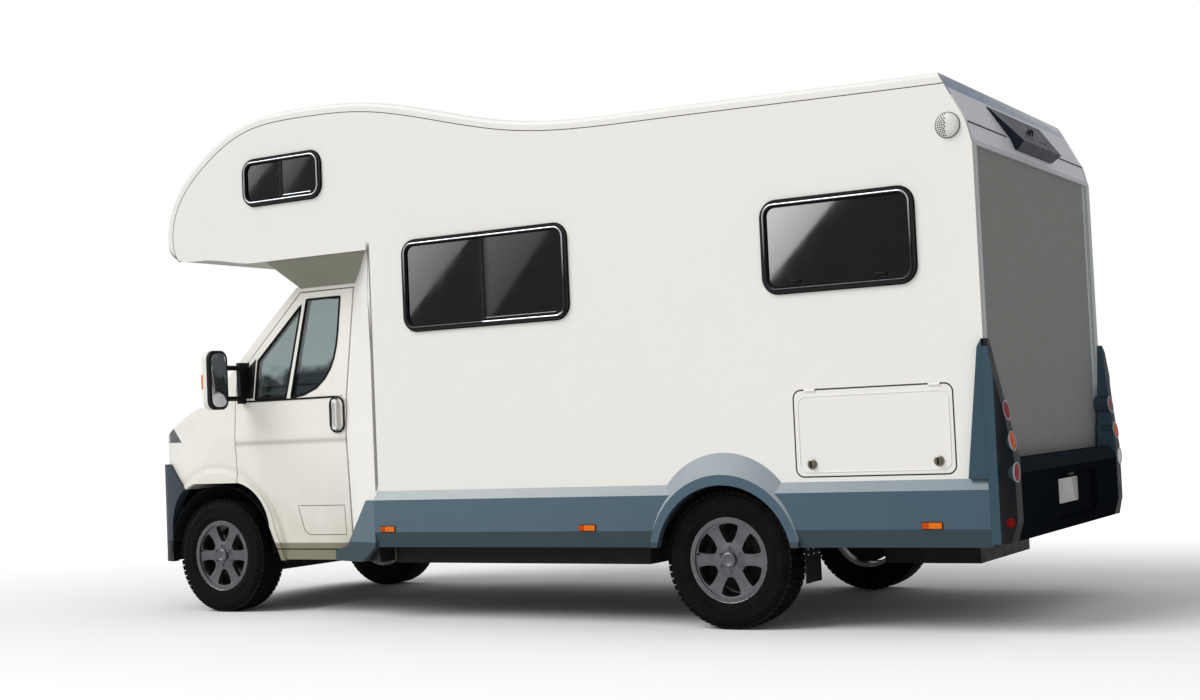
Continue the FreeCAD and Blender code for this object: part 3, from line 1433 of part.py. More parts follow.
def make_chassis():
    """Rails, cross members, axles and knuckles."""
    rail_foot = D.rail_top_height - D.rail_height
    outer = D.rail_half_spacing + D.rail_width / 2
    rail = box("rail", (along(-D.rail_rear), along(D.rail_front)), (outer - D.rail_width, outer),
               (rail_foot, D.rail_top_height))

    def member(name, start):
        return box(name, (start, start + D.member_width), (-outer, outer),
                   (rail_foot + D.overrun, D.rail_top_height - D.overrun))

    members = [
        member("member_tail", along(-D.rail_rear)),
        member("member_behind_tanks", along(D.member_rear_ahead)),
        member("member_mid", along(D.member_mid_ahead)),
        member("member_cab", along(D.box_front)),
        member("member_nose", along(D.rail_front) - D.member_width),
    ]
    tow = box("tow_member", (along(-D.rail_rear), along(-D.rail_rear) + D.member_width),
              (-D.tow_half_width, D.tow_half_width), (rail_foot, D.rail_top_height - D.overrun))
    holes = [
        cylinder(f"tow_hole_{number}_{side}", "z", D.tow_hole_radius, rail_foot - D.overrun,
                 D.rail_top_height + D.overrun, x=along(-D.rail_rear) + D.member_width * row,
                 y=D.rail_half_spacing * sign)
        for number, row in enumerate((0.5, 1.5)) for side, sign in WHEEL_SIDES.items()
    ]
    pad = box("jack_pad", (along(D.jack_ahead) - D.jack_pad_half, along(D.jack_ahead) + D.jack_pad_half),
              (outer - D.rail_width, outer), (rail_foot - D.jack_pad_depth, rail_foot))
    node(cut("chassis", fuse("chassis_parts", [both_sides("rails", rail), both_sides("jack_pads", pad), tow]
                             + members), holes), "chassis_frame")

    hub_face = D.track_half + D.hub_face
    beam_end = D.track_half - D.tyre_width / 2
    beam = cylinder("rear_beam", "y", D.beam_radius, -beam_end, beam_end, x=REAR_AXLE, z=D.tyre_radius)
    hub = cylinder("rear_hub", "y", D.hub_radius, D.track_half - D.tyre_width / 2, hub_face,
                   x=REAR_AXLE, z=D.tyre_radius)
    disc = cylinder("rear_disc", "y", D.disc_radius, D.track_half - D.disc_thickness * 2,
                    D.track_half - D.disc_thickness, x=REAR_AXLE, z=D.tyre_radius)
    leaf = prism("leaf", "XZ", [
        (REAR_AXLE - D.leaf_reach, rail_foot),
        (REAR_AXLE - D.leaf_reach, rail_foot - D.leaf_thickness, D.leaf_drop - D.leaf_thickness),
        (REAR_AXLE + D.leaf_reach, rail_foot - D.leaf_thickness),
        (REAR_AXLE + D.leaf_reach, rail_foot),
        (REAR_AXLE + D.leaf_reach - D.leaf_thickness, rail_foot, -D.leaf_drop + D.leaf_thickness),
        (REAR_AXLE - D.leaf_reach + D.leaf_thickness, rail_foot),
    ], outer - D.rail_width, outer)
    node(fuse("rear_axle_parts", [beam, both_sides("rear_hubs", hub), both_sides("rear_discs", disc),
                                  both_sides("leaves", leaf)]), "rear_axle")

    kingpin = D.front_track_half - D.kingpin_inset
    low, high = D.tyre_radius - D.knuckle_half_height, D.tyre_radius + D.knuckle_half_height
    arm_zone = [
        (FRONT_AXLE - D.arm_half_length, outer),
        (FRONT_AXLE + D.arm_half_length, outer),
        (FRONT_AXLE + D.knuckle_radius, kingpin + D.knuckle_radius),
        (FRONT_AXLE - D.knuckle_radius, kingpin + D.knuckle_radius),
    ]
    arms = [
        prism("arm_low", "XY", arm_zone, low - D.arm_thickness, low - D.seat_gap),
        prism("arm_high", "XY", arm_zone, high + D.seat_gap, high + D.arm_thickness),
    ]
    spring = cylinder(
        "front_spring", "z", D.spring_radius, low - D.seat_gap * 2, D.arch_head_height - D.seat_gap,
        x=FRONT_AXLE, y=D.spring_half_spacing,
    )
    web = box("arm_web", (FRONT_AXLE - D.arm_half_length, FRONT_AXLE + D.arm_half_length),
              (outer - D.rail_width, outer), (low - D.arm_thickness, high + D.arm_thickness))
    beam_front = box("front_beam", (FRONT_AXLE - D.arm_half_length, FRONT_AXLE + D.arm_half_length),
                     (-outer, outer), (low - D.arm_thickness, low + D.arm_thickness))
    node(cut("front_axle_clear", fuse("front_axle_parts", [
        both_sides("front_arms", fuse("front_arm_set", arms + [spring, web])), beam_front,
    ]), [both_sides("rail_room", box(
        "rail_room_left", (along(D.box_front), along(D.rail_front)), (outer - D.rail_width, outer),
        (rail_foot, D.rail_top_height)))]), "front_axle")

    pin = cylinder("kingpin", "z", D.knuckle_radius, low, high, x=FRONT_AXLE, y=kingpin)
    stub = cylinder("stub", "y", D.hub_radius, kingpin, D.front_track_half + D.hub_face,
                    x=FRONT_AXLE, z=D.tyre_radius)
    front_disc = cylinder("front_disc", "y", D.disc_radius, D.front_track_half - D.disc_thickness,
                          D.front_track_half, x=FRONT_AXLE, z=D.tyre_radius)
    knuckle = fuse("knuckle", [pin, stub, front_disc])
    node(knuckle, "knuckle_left")
    node(mirrored("knuckle_other", knuckle), "knuckle_right")


def make_underbody():
    """Underfloor tanks and mud flaps."""
    floor_foot = D.floor_top_height - D.floor_depth
    outer = D.rail_half_spacing + D.rail_width / 2 + D.overrun
    tank = box("tank", (REAR_AXLE + D.tank_rear, along(D.box_front) - D.tank_margin),
               (outer, INNER_HALF_WIDTH - D.tank_margin), (D.tank_foot_height, floor_foot))
    waste_tank = box(
        "waste_tank", (along(-D.waste_tank_rear), along(-D.waste_tank_front)),
        (-D.waste_tank_half_width, D.waste_tank_half_width),
        (D.waste_tank_foot_height, D.rail_top_height - D.rail_height),
    )
    node(fuse("all_tanks", [both_sides("tanks", tank), waste_tank]), "water_tanks")
    flap = box("flap", (REAR_AXLE - D.flap_behind - D.flap_thickness, REAR_AXLE - D.flap_behind),
               (D.track_half - D.tyre_width / 2, INNER_HALF_WIDTH), (D.flap_foot_height, floor_foot))
    node(both_sides("flaps", flap), "mud_flaps")


def make_skirts():
    """Side skirts with the rear wheel arch flares."""
    section = [
        (HALF_WIDTH, D.skirt_foot_height),
        (HALF_WIDTH + D.skirt_foot_proud, D.skirt_foot_height),
        (HALF_WIDTH + D.skirt_proud, D.skirt_band_height),
        (HALF_WIDTH + D.skirt_proud, D.skirt_crease_height),
        (HALF_WIDTH, D.skirt_head_height),
    ]
    run = prism("skirt_run", "YZ", section, along(-D.skirt_rear), along(D.box_front))
    wall_line = [
        (REAR_AXLE - D.flare_outer_radius, D.skirt_foot_height),
        (REAR_AXLE + D.flare_outer_radius, D.skirt_foot_height),
        (REAR_AXLE + D.flare_outer_radius, D.flare_outer_height, D.flare_outer_radius * FLARE_RISE_SHARE),
        (REAR_AXLE - D.flare_outer_radius, D.flare_outer_height),
    ]
    rim = D.flare_arch_radius + D.flare_rim
    rim_line = [
        (REAR_AXLE - rim, D.skirt_foot_height),
        (REAR_AXLE + rim, D.skirt_foot_height),
        (REAR_AXLE + rim, D.skirt_foot_height + D.flare_foot_rise, rim * FLARE_RIM_RISE_SHARE),
        (REAR_AXLE - rim, D.skirt_foot_height + D.flare_foot_rise),
    ]
    flare = loft("flare", "XZ", [
        (wall_line, HALF_WIDTH), (rim_line, HALF_WIDTH + D.skirt_proud + D.flare_proud),
    ])
    wedge = prism("skirt_wedge", "XZ", [
        (along(D.box_front), D.skirt_foot_height),
        (along(D.box_front) + D.wedge_reach * WEDGE_FOOT_SHARE, D.cab_foot_height),
        (along(D.box_front) + D.wedge_reach, D.cab_foot_height),
        (along(D.box_front) + D.wedge_reach, D.cab_foot_height + D.wedge_reach * WEDGE_LIP_SHARE),
        (along(D.box_front) + D.wedge_reach * WEDGE_RISE_SHARE, D.skirt_foot_height),
        (along(D.box_front) + D.wedge_reach * WEDGE_HEAD_SHARE, D.skirt_crease_height),
        (along(D.box_front), D.skirt_crease_height),
    ], D.cab_foot_half_width - D.overrun, HALF_WIDTH + D.skirt_proud)
    wedge_plan = prism("wedge_plan", "XY", [
        (along(D.box_front), HALF_WIDTH + D.skirt_proud),
        (along(D.box_front), D.cab_foot_half_width - D.long_overrun),
        (along(D.box_front) + D.wedge_reach, D.cab_foot_half_width - D.long_overrun),
        (along(D.box_front) + D.wedge_reach, D.belt_half_width + D.wedge_front_proud),
    ], 0, D.skirt_head_height)
    nose = cut("skirt_nose", common("skirt_nose_blank", [wedge, wedge_plan]), [
        cab_form("skirt_cab_seat", 0), fairing_wedge("skirt_fairing"),
    ])
    skirt = cut("skirt", fuse("skirt_parts", [run, flare, nose]), [cylinder(
        "skirt_wheel_gap", "y", D.flare_arch_radius, HALF_WIDTH - D.overrun, HALF_WIDTH + D.long_overrun,
        x=REAR_AXLE, z=D.tyre_radius,
    )])
    right = cut("skirt_right", mirrored("skirt_other", skirt), [box(
        "skirt_entry_gap", (along(D.entry_rear) - D.entry_gap, along(D.entry_front) + D.entry_gap),
        (-HALF_WIDTH - D.skirt_proud - D.overrun, -HALF_WIDTH + D.overrun),
        (D.entry_foot - D.entry_gap, D.entry_head))])
    node(fuse("skirt_pair", [skirt, right]), "skirts")


def fairing_wedge(name):
    """The solid form of the left fairing."""
    near = [
        (D.bay_half_width, D.cab_foot_height),
        (D.cab_foot_half_width, D.cab_foot_height),
        (D.belt_half_width, D.belt_height),
        (D.shoulder_half_width, D.shoulder_height),
        (D.cab_roof_half_width, D.cab_roof_height),
        (D.cab_roof_half_width, D.alcove_foot_height),
        (D.bay_half_width, D.alcove_foot_height),
    ]
    edge = HALF_WIDTH - D.fairing_setback
    far = [(D.bay_half_width, D.cab_foot_height)] + [(edge, corner[1]) for corner in near[1:-1]] + [near[-1]]
    return loft(name, "YZ", [
        (far, along(D.box_front)), (near, along(D.door_rear) - D.door_rear_gap - D.fairing_setback),
    ])


def rear_profile(proud):
    """The lamp pillar and bumper seen from the side, with the rear face moved back by proud."""
    proud = size(proud)
    rear = along(-D.box_rear)
    tail = along(-D.rear_overhang) + D.lamp_proud - proud
    return [
        (rear, D.bumper_rear_foot),
        (rear, D.pillar_head_height),
        (rear - D.pillar_head_depth - proud, D.pillar_head_height),
        (tail, D.bumper_rear_head),
        (tail, D.bumper_rear_foot + D.bumper_tuck_height),
        (rear - D.bumper_tuck_depth, D.bumper_rear_foot),
    ]


def make_rear():
    """Rear bumper, lamp pillars, lamps and side markers."""
    rear = along(-D.box_rear)
    tail = along(-D.rear_overhang) + D.lamp_proud
    edge = HALF_WIDTH + D.skirt_proud
    bumper_side = prism("rear_bumper_side", "XZ", [
        (rear, D.bumper_rear_foot),
        (rear, D.bumper_rear_head),
        (rear - D.bumper_shelf_depth, D.bumper_rear_head),
        (tail, D.bumper_rear_head - D.bumper_shelf_drop),
        (tail, D.bumper_rear_foot + D.bumper_tuck_height),
        (rear - D.bumper_tuck_depth, D.bumper_rear_foot),
    ], -edge, edge)
    plan = [
        (rear, edge),
        (rear - D.bumper_rear_proud / 2, edge, -D.bumper_corner_rise),
        (tail, edge - D.bumper_corner),
        (tail, -edge + D.bumper_corner, -D.bumper_corner_rise),
        (rear - D.bumper_rear_proud / 2, -edge),
        (rear, -edge),
    ]
    bumper_plan = prism("rear_bumper_plan", "XY", plan, D.bumper_rear_foot, D.bumper_rear_head)
    plate_hole = prism("plate_recess", "YZ", rounded(
        -D.plate_right, D.plate_left, D.plate_foot_height, D.plate_head_height, D.overrun,
    ), tail - D.overrun, tail + D.plate_recess_depth)
    hollow = box("rear_bumper_hollow", (tail + D.plate_recess_depth + D.bumper_skin, rear + D.overrun),
                 (-INNER_HALF_WIDTH, INNER_HALF_WIDTH),
                 (D.bumper_rear_foot - D.overrun, D.bumper_rear_head - D.bumper_skin))
    lamp_spots = (("high", D.lamp_high), ("mid", D.lamp_mid), ("low", D.lamp_low))

    def lamp_bars(name, radius):
        return [
            cylinder(f"{name}_{label}", "x", radius, tail - D.overrun, rear - D.lamp_back_gap,
                     y=D.lamp_half_spacing, z=height)
            for label, height in lamp_spots
        ]

    post = prism("post_side", "XZ", rear_profile(0), D.pillar_inner, edge)
    post_back = prism("post_back", "YZ", [
        (HALF_WIDTH - D.pillar_foot_width, D.bumper_rear_foot),
        (edge, D.bumper_rear_foot),
        (edge, D.pillar_head_height - D.pillar_head_slope),
        (HALF_WIDTH, D.pillar_head_height),
        (HALF_WIDTH - D.pillar_head_width, D.pillar_head_height),
        (HALF_WIDTH - D.pillar_foot_width, D.bumper_rear_head),
    ], tail - D.overrun, rear)
    post_plan = prism("post_plan", "XY", plan, D.bumper_rear_foot, D.pillar_head_height)
    fin = common("fin", [post, post_back, post_plan])
    strip = prism("fin_strip", "XZ", [
        (rear, D.skirt_head_height),
        (rear + D.pillar_side_reach, D.skirt_head_height),
        (rear + D.pillar_head_depth, D.pillar_head_height - D.pillar_head_slope),
        (rear, D.pillar_head_height),
    ], HALF_WIDTH, edge - D.pillar_strip_inset)
    pillar = cut("pillar", fuse("pillar_parts", [fin, strip]), lamp_bars("lamp_hole", D.lamp_radius))
    node(both_sides("pillars", pillar), "tail_pillars")
    bumper = cut("rear_bumper_whole", common("rear_bumper_blank", [bumper_side, bumper_plan]), [
        plate_hole, hollow, both_sides("post_room", fuse("post_room_left", [post_in_bumper(), strip])),
    ])
    node(bumper, "rear_bumper")
    lens = common("lens_set", [fuse("lens_bars", lamp_bars("lens", D.lamp_radius)), prism(
        "lens_limit", "XZ", rear_profile(D.lamp_proud), 0, HALF_WIDTH + D.skirt_proud)])
    markers = [
        box(f"marker_{index}", (along(spot) - D.marker_length / 2, along(spot) + D.marker_length / 2),
            (edge, edge + D.marker_proud), (D.skirt_band_height, D.skirt_band_height + D.marker_height))
        for index, spot in enumerate((D.marker_front, D.marker_mid, D.marker_rear))
    ]
    node(both_sides("lamps_all", fuse("lamps_left", [lens] + markers)), "lamps")


def post_in_bumper():
    """Room that the left lamp pillar takes in the bumper."""
    rear = along(-D.box_rear)
    return box("post_room_block", (along(-D.rear_overhang) - D.overrun, rear + D.overrun),
               (HALF_WIDTH - D.pillar_foot_width, HALF_WIDTH + D.skirt_proud + D.overrun),
               (D.bumper_rear_foot - D.overrun, D.bumper_rear_head + D.overrun))


def make_roof_fittings():
    """Camera housing on the rear cap, heater cowl on the left wall and two roof hatches."""
    rear = along(-D.box_rear)
    foot = D.cap_foot_height + D.housing_foot_rise
    head = foot + D.housing_height
    sill = foot + D.housing_sill_rise
    housing = common("housing_blank", [
        prism("housing_back", "YZ", [
            (-D.housing_foot_half, foot),
            (D.housing_foot_half, foot),
            (D.housing_head_half, head),
            (-D.housing_head_half, head),
        ], rear - D.long_overrun, along(-D.roof_rear)),
        prism("housing_side", "XZ", [
            (rear, foot),
            (along(-D.roof_rear), foot),
            (along(-D.roof_rear), head),
            (along(-D.roof_rear) - D.housing_head_proud, head),
            (rear - D.housing_proud, foot + D.housing_chin),
        ], -HALF_WIDTH, HALF_WIDTH),
    ])
    niche = prism("housing_niche", "YZ", [
        (-D.housing_niche_half, sill),
        (D.housing_niche_half, sill),
        (D.housing_niche_half + D.housing_chin, head - D.housing_chin),
        (-D.housing_niche_half - D.housing_chin, head - D.housing_chin),
    ], rear - D.long_overrun, rear)
    lens_box = box("housing_lens", (rear - D.housing_proud, rear + D.housing_proud),
                   (-D.housing_lens_half, D.housing_lens_half),
                   (sill, sill + D.housing_lens_half * 2))
    body = fuse("housing_body", [
        cut("housing_open", housing, [niche]), common("housing_lens_in", [lens_box, housing]),
    ])
    node(cut("housing", body, [coach_solid("housing_seat")]), "camera_housing")

    ahead, height = along(-D.cowl_behind), D.roof_rear_height - D.cowl_drop
    out = HALF_WIDTH + D.cowl_proud
    cowl = cylinder("cowl", "y", D.cowl_radius, HALF_WIDTH, out, x=ahead, z=height)
    lowest = height - D.cowl_slot * (COWL_SLOTS - 1)
    slots = []
    for index in range(COWL_SLOTS):
        low = lowest + D.cowl_slot * 2 * index
        slots.append(box(
            f"cowl_slot_{index}", (ahead - D.cowl_radius, ahead + D.cowl_radius),
            (HALF_WIDTH + D.cowl_proud / 2, out + D.overrun), (low, low + D.cowl_slot),
        ))
    rim_gap = cylinder(
        "cowl_rim_gap", "y", D.cowl_radius - D.cowl_slot, HALF_WIDTH - D.overrun, out + D.overrun,
        x=ahead, z=height,
    )
    rim = cut("cowl_rim", cylinder("cowl_rim_disc", "y", D.cowl_radius, HALF_WIDTH, out, x=ahead, z=height),
              [rim_gap])
    node(fuse("cowl_whole", [cut("cowl_slotted", cowl, slots), rim]), "heater_cowl")

    def hatch(name, spot):
        """A hatch whose middle lies at a place along the roof, with a brim and a tapered lid."""
        return loft(name, "XY", [
            (rounded(along(spot) - reach, along(spot) + reach, -reach, reach, D.window_corner), height)
            for reach, height in (
                (D.hatch_half, D.roof_rear_height),
                (D.hatch_half, D.roof_mid_height + D.hatch_brim_rise),
                (D.hatch_half - D.hatch_taper, D.roof_mid_height + D.hatch_top_rise),
            )
        ])

    hatches = [hatch("hatch_behind", -D.hatch_rear), hatch("hatch_ahead", D.hatch_front)]
    node(cut("hatches", fuse("hatch_blocks", hatches), [coach_solid("hatch_seat")]), "roof_hatches")


def make_doors():
    """Locker door on the left, entry door with its window on the right."""
    knuckles = [
        cylinder(
            f"locker_hinge_{label}", "x", D.hinge_radius, at, at + D.hinge_length,
            y=HALF_WIDTH, z=D.locker_head,
        )
        for label, at in (
            ("rear", along(D.locker_rear) + D.locker_hinge_gap),
            ("front", along(D.locker_front) - D.locker_hinge_gap - D.hinge_length),
        )
    ]
    leaf = prism("locker", "XZ", locker_outline(0), INNER_HALF_WIDTH, HALF_WIDTH)
    node(fuse("locker_whole", [leaf] + knuckles), "locker_door")
    slab = prism("entry", "XZ", entry_outline(0), -HALF_WIDTH, -INNER_HALF_WIDTH)
    pane_hole = prism(
        "entry_pane_hole", "XZ", entry_pane_outline(0),
        -HALF_WIDTH - D.overrun, -INNER_HALF_WIDTH + D.overrun,
    )
    barrels = [
        cylinder(f"entry_hinge_{label}", "z", D.hinge_radius, at, at + D.hinge_length,
                 x=along(D.entry_front), y=-HALF_WIDTH)
        for label, at in (
            ("low", D.entry_foot + D.entry_hinge_gap),
            ("high", D.entry_head - D.entry_hinge_gap - D.hinge_length),
        )
    ]
    node(fuse("entry_whole", [cut("entry_leaf", slab, [pane_hole])] + barrels), "entry_door")
    glass = prism(
        "entry_glass", "XZ", entry_pane_outline(0), -HALF_WIDTH, -HALF_WIDTH + D.entry_pane_thickness)
    node(glass, "entry_window")


for make in (
    make_side_walls, make_roof_and_ends, make_floor, make_window_frames, make_cab, make_front,
    make_mirrors, make_cabin, make_fairings, make_wheels, make_chassis, make_underbody, make_skirts,
    make_rear, make_roof_fittings, make_doors,
):
    make()
doc.recompute()

failed = [thing.Name for thing in doc.Objects if {"Invalid", "Error"} & set(thing.State)]
broken = [thing.Label for thing in nodes if thing.Shape.isNull() or not thing.Shape.isValid()]
if failed or broken:
    raise RuntimeError(f"failed: {failed} broken: {broken}")
os.makedirs("parts", exist_ok=True)
for thing in nodes:
    print(thing.Label, len(thing.Shape.Solids), round(thing.Shape.Volume / 1e6, 2), "l")
    thing.Shape.exportStep(f"parts/{thing.Label}.step")
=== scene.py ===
import math

import bmesh
import bpy
from mathutils import Matrix, Vector
from mathutils.bvhtree import BVHTree


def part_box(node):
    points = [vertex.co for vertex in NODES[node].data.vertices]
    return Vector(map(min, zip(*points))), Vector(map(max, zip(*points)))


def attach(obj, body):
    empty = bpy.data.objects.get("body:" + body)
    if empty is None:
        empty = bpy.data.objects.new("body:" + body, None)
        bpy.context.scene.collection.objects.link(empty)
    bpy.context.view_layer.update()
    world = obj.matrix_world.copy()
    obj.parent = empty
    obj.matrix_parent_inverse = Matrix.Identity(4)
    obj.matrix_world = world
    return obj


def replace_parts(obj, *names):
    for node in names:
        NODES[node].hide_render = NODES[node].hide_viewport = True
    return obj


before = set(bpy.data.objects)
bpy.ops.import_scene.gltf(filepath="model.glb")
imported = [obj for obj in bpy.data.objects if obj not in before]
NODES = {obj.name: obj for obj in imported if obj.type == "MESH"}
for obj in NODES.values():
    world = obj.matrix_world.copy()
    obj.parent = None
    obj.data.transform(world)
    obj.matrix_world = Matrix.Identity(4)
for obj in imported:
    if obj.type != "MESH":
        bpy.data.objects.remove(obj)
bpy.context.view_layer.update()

# Places in metres: +X forward, +Y left, +Z up, the ground is z = 0
REAR_AXLE_X = -1.480
FRONT_AXLE_X = 2.340
AXLE_Z = 0.372
WALL_Y = 1.100
SKIRT_Y = 1.136
SIDES = {"left": 1, "right": -1}
ASTERN = (-1, 0, 0)
BEHIND_ALL = -3.3


def along(distance):
    """A place along the vehicle, measured forward from the rear axle."""
    return REAR_AXLE_X + distance


def shade(red, green, blue):
    """A colour written in 0 to 255 as the eye sees it, turned into the renderer's linear values."""
    def linear(channel):
        channel /= 255
        return channel / 12.92 if channel <= 0.04045 else ((channel + 0.055) / 1.055) ** 2.4
    return (linear(red), linear(green), linear(blue), 1.0)


def dimmer(colour, share):
    return tuple(part * share for part in colour[:3]) + (1,)


# Finishes


class Nodes:
    """A node tree under construction, with short calls for its sums."""

    def __init__(self, tree):
        self.nodes, self.links = tree.nodes, tree.links

    def add(self, kind, **settings):
        made = self.nodes.new(kind)
        for key, value in settings.items():
            setattr(made, key, value)
        return made

    def feed(self, target, source):
        if isinstance(source, bpy.types.NodeSocket):
            self.links.new(source, target)
        else:
            target.default_value = source

    def sum(self, operation, first, second=0.0):
        made = self.add("ShaderNodeMath", operation=operation)
        self.feed(made.inputs[0], first)
        self.feed(made.inputs[1], second)
        return made.outputs[0]

    def times(self, first, *others):
        for other in others:
            first = self.sum("MULTIPLY", first, other)
        return first

    def plus(self, first, second):
        return self.sum("ADD", first, second)

    def less(self, first, second):
        return self.sum("SUBTRACT", first, second)

    def most(self, first, second):
        return self.sum("MAXIMUM", first, second)

    def size(self, value):
        return self.sum("ABSOLUTE", value)

    def reach(self, first, second):
        """The distance that two distances at right angles make."""
        return self.sum("SQRT", self.plus(self.times(first, first), self.times(second, second)))

    def ramp(self, value, low, high, start=0.0, end=1.0):
        """Turns a value between low and high into start to end, held beyond them."""
        ramp = self.add("ShaderNodeMapRange", clamp=True)
        self.feed(ramp.inputs["Value"], value)
        for name, number in (("From Min", low), ("From Max", high), ("To Min", start), ("To Max", end)):
            ramp.inputs[name].default_value = number
        return ramp.outputs["Result"]

    def falls(self, value, low, high):
        return self.ramp(value, low, high, 1.0, 0.0)

    def within(self, value, low, high, soft=0.002):
        """1 where a value lies between two levels, 0 elsewhere, with a soft edge."""
        return self.times(self.ramp(value, low - soft, low + soft),
                          self.falls(value, high - soft, high + soft))

    def mix(self, factor, first, second):
        made = self.add("ShaderNodeMix", data_type="RGBA")
        for number, value in ((0, factor), (6, first), (7, second)):
            self.feed(made.inputs[number], value)
        return made.outputs[2]

    def split(self, vector):
        made = self.add("ShaderNodeSeparateXYZ")
        self.links.new(vector, made.inputs[0])
        return made.outputs


class Finish(Nodes):
    """A material under construction; x, y and z are places on the vehicle."""

    def __init__(self, name):
        self.material = bpy.data.materials.new(name)
        self.material.use_nodes = True
        super().__init__(self.material.node_tree)
        self.shader = self.nodes["Principled BSDF"]
        self.place = self.add("ShaderNodeTexCoord").outputs["Object"]
        self.x, self.y, self.z = (self.split(self.place)[name] for name in "XYZ")

    def set(self, **values):
        for key, value in values.items():
            self.feed(self.shader.inputs[key.replace("_", " ")], value)

    def noise(self, scale, detail, rough=0.5):
        noise = self.add("ShaderNodeTexNoise")
        self.links.new(self.place, noise.inputs["Vector"])
        for name, number in (("Scale", scale), ("Detail", detail), ("Roughness", rough)):
            noise.inputs[name].default_value = number
        return noise.outputs["Fac"]

    def cloud(self, scale, detail, start, end, low=0.3, high=0.7, rough=0.5):
        """Patches that go from start to end."""
        return self.ramp(self.noise(scale, detail, rough), low, high, start, end)

    def beside(self):
        """How far out a point lies, on either side."""
        return self.size(self.y)

    def from_axle(self, axle_x):
        """How far a point lies from the line of an axle."""
        return self.reach(self.less(self.x, axle_x), self.less(self.z, AXLE_Z))

    def facing(self):
        """The real direction of each face, along the vehicle, to its left and up."""
        return self.split(self.add("ShaderNodeNewGeometry").outputs["True Normal"])

    def bump(self, height, depth, strength):
        """Raises a form, over the bumps that the finish has already."""
        normal = self.shader.inputs["Normal"]
        bump = self.add("ShaderNodeBump")
        bump.inputs["Distance"].default_value = depth
        bump.inputs["Strength"].default_value = strength
        if normal.is_linked:
            self.links.new(normal.links[0].from_socket, bump.inputs["Normal"])
        self.links.new(height, bump.inputs["Height"])
        self.links.new(bump.outputs["Normal"], normal)
        return self

    def paint(self, *coats):
        """Lays further colours over the finish; each coat is (where, colour)."""
        base = self.shader.inputs["Base Color"]
        for where, colour in coats:
            self.links.new(self.mix(where, base.links[0].from_socket, colour), base)
        return self


def lacquer(name, colour, dirt=shade(150, 140, 120), dirt_top=0.9, dirt_most=0.0, gloss=0.28, coat=0.25,
            shine=0.5):
    """Painted or moulded body panels: even colour, road film low down, faint waves and peel."""
    finish = Finish(name)
    fresh = finish.mix(finish.cloud(1.6, 5, 0.0, 0.045, 0.35), colour, dimmer(colour, 0.88))
    grime = finish.times(finish.ramp(finish.z, 0.35, dirt_top, dirt_most, 0.0), finish.cloud(5, 2, 0.5, 1.0))
    finish.set(Base_Color=finish.mix(grime, fresh, dirt), Coat_Weight=coat, Coat_Roughness=0.08,
               Roughness=finish.plus(finish.cloud(11, 4, gloss - 0.05, gloss + 0.07), grime),
               Specular_IOR_Level=shine)
    peel = finish.plus(finish.times(finish.noise(260, 2), 0.03), finish.noise(1.3, 1))
    return finish.bump(peel, 0.0014, 0.20)


def plastic(name, colour, rough=0.5, grain=900.0, depth=0.0003, dust=0.12, shine=0.3):
    """Grained moulded plastic with a little dust and scuffing."""
    finish = Finish(name)
    pale = tuple(min(1.0, part * 1.6 + 0.02) for part in colour[:3]) + (1,)
    finish.set(Base_Color=finish.mix(finish.cloud(24, 6, 0.0, dust, 0.45, 0.8, 0.65), colour, pale),
               Roughness=finish.cloud(9, 4, rough - 0.06, rough + 0.1), Specular_IOR_Level=shine)
    return finish.bump(finish.noise(grain, 3), depth, 0.6)


def metal(name, colour, rough=0.35, metallic=1.0, wear=0.2, grain=140.0):
    """Cast, rolled or turned metal with cloudy wear."""
    finish = Finish(name)
    worn = finish.cloud(18, 6, 0.0, wear, 0.4, 0.75, 0.6)
    finish.set(Base_Color=finish.mix(worn, colour, dimmer(colour, 0.55)), Metallic=metallic,
               Roughness=finish.cloud(30, 4, rough - 0.06, rough + 0.12))
    return finish.bump(finish.noise(grain, 3), 0.0004, 0.4)


def cab_glass(name):
    """Lightly tinted safety glass."""
    tint = (0.55, 0.62, 0.62, 1)
    finish = Finish(name)
    finish.set(Base_Color=finish.mix(finish.cloud(3, 3, 0.0, 0.1), tint, dimmer(tint, 0.8)),
               Roughness=finish.cloud(14, 3, 0.02, 0.04), Transmission_Weight=0.9, IOR=1.45)
    return finish.bump(finish.noise(1.5, 1), 0.0006, 0.15)


def dark_pane():
    """Deep tinted acrylic, nearly black, with a soft sheen and slight waves."""
    finish = Finish("tinted_acrylic")
    murk = finish.cloud(2.5, 4, 0.0, 0.6, 0.35)
    finish.set(Base_Color=finish.mix(murk, shade(5, 5, 7), shade(12, 12, 15)),
               Roughness=finish.cloud(6, 3, 0.02, 0.05), IOR=1.5, Specular_IOR_Level=0.25)
    return finish.bump(finish.noise(1.4, 1), 0.002, 0.10)


def lens(name, colour, ridge=0.006):
    """Lamp lens: coloured plastic with moulded prisms behind a clear gloss."""
    finish = Finish(name)
    wave = finish.add("ShaderNodeTexWave", bands_direction="Z")
    finish.links.new(finish.place, wave.inputs["Vector"])
    wave.inputs["Scale"].default_value = 1 / ridge / 6.3
    prisms = wave.outputs["Fac"]
    deep = finish.ramp(prisms, 0.2, 0.8, 0.0, 0.35)
    finish.set(Base_Color=finish.mix(deep, colour, dimmer(colour, 0.45)), Coat_Weight=0.015,
               Coat_Roughness=0.1, Roughness=finish.cloud(30, 3, 0.22, 0.32), Specular_IOR_Level=0.02)
    return finish.bump(prisms, 0.0006, 0.5)


SIPES_AROUND, SIPE_SLANT = 60.0, 60.0
SIDE_RIBS_AROUND, SIDE_RINGS = 180.0, 420.0


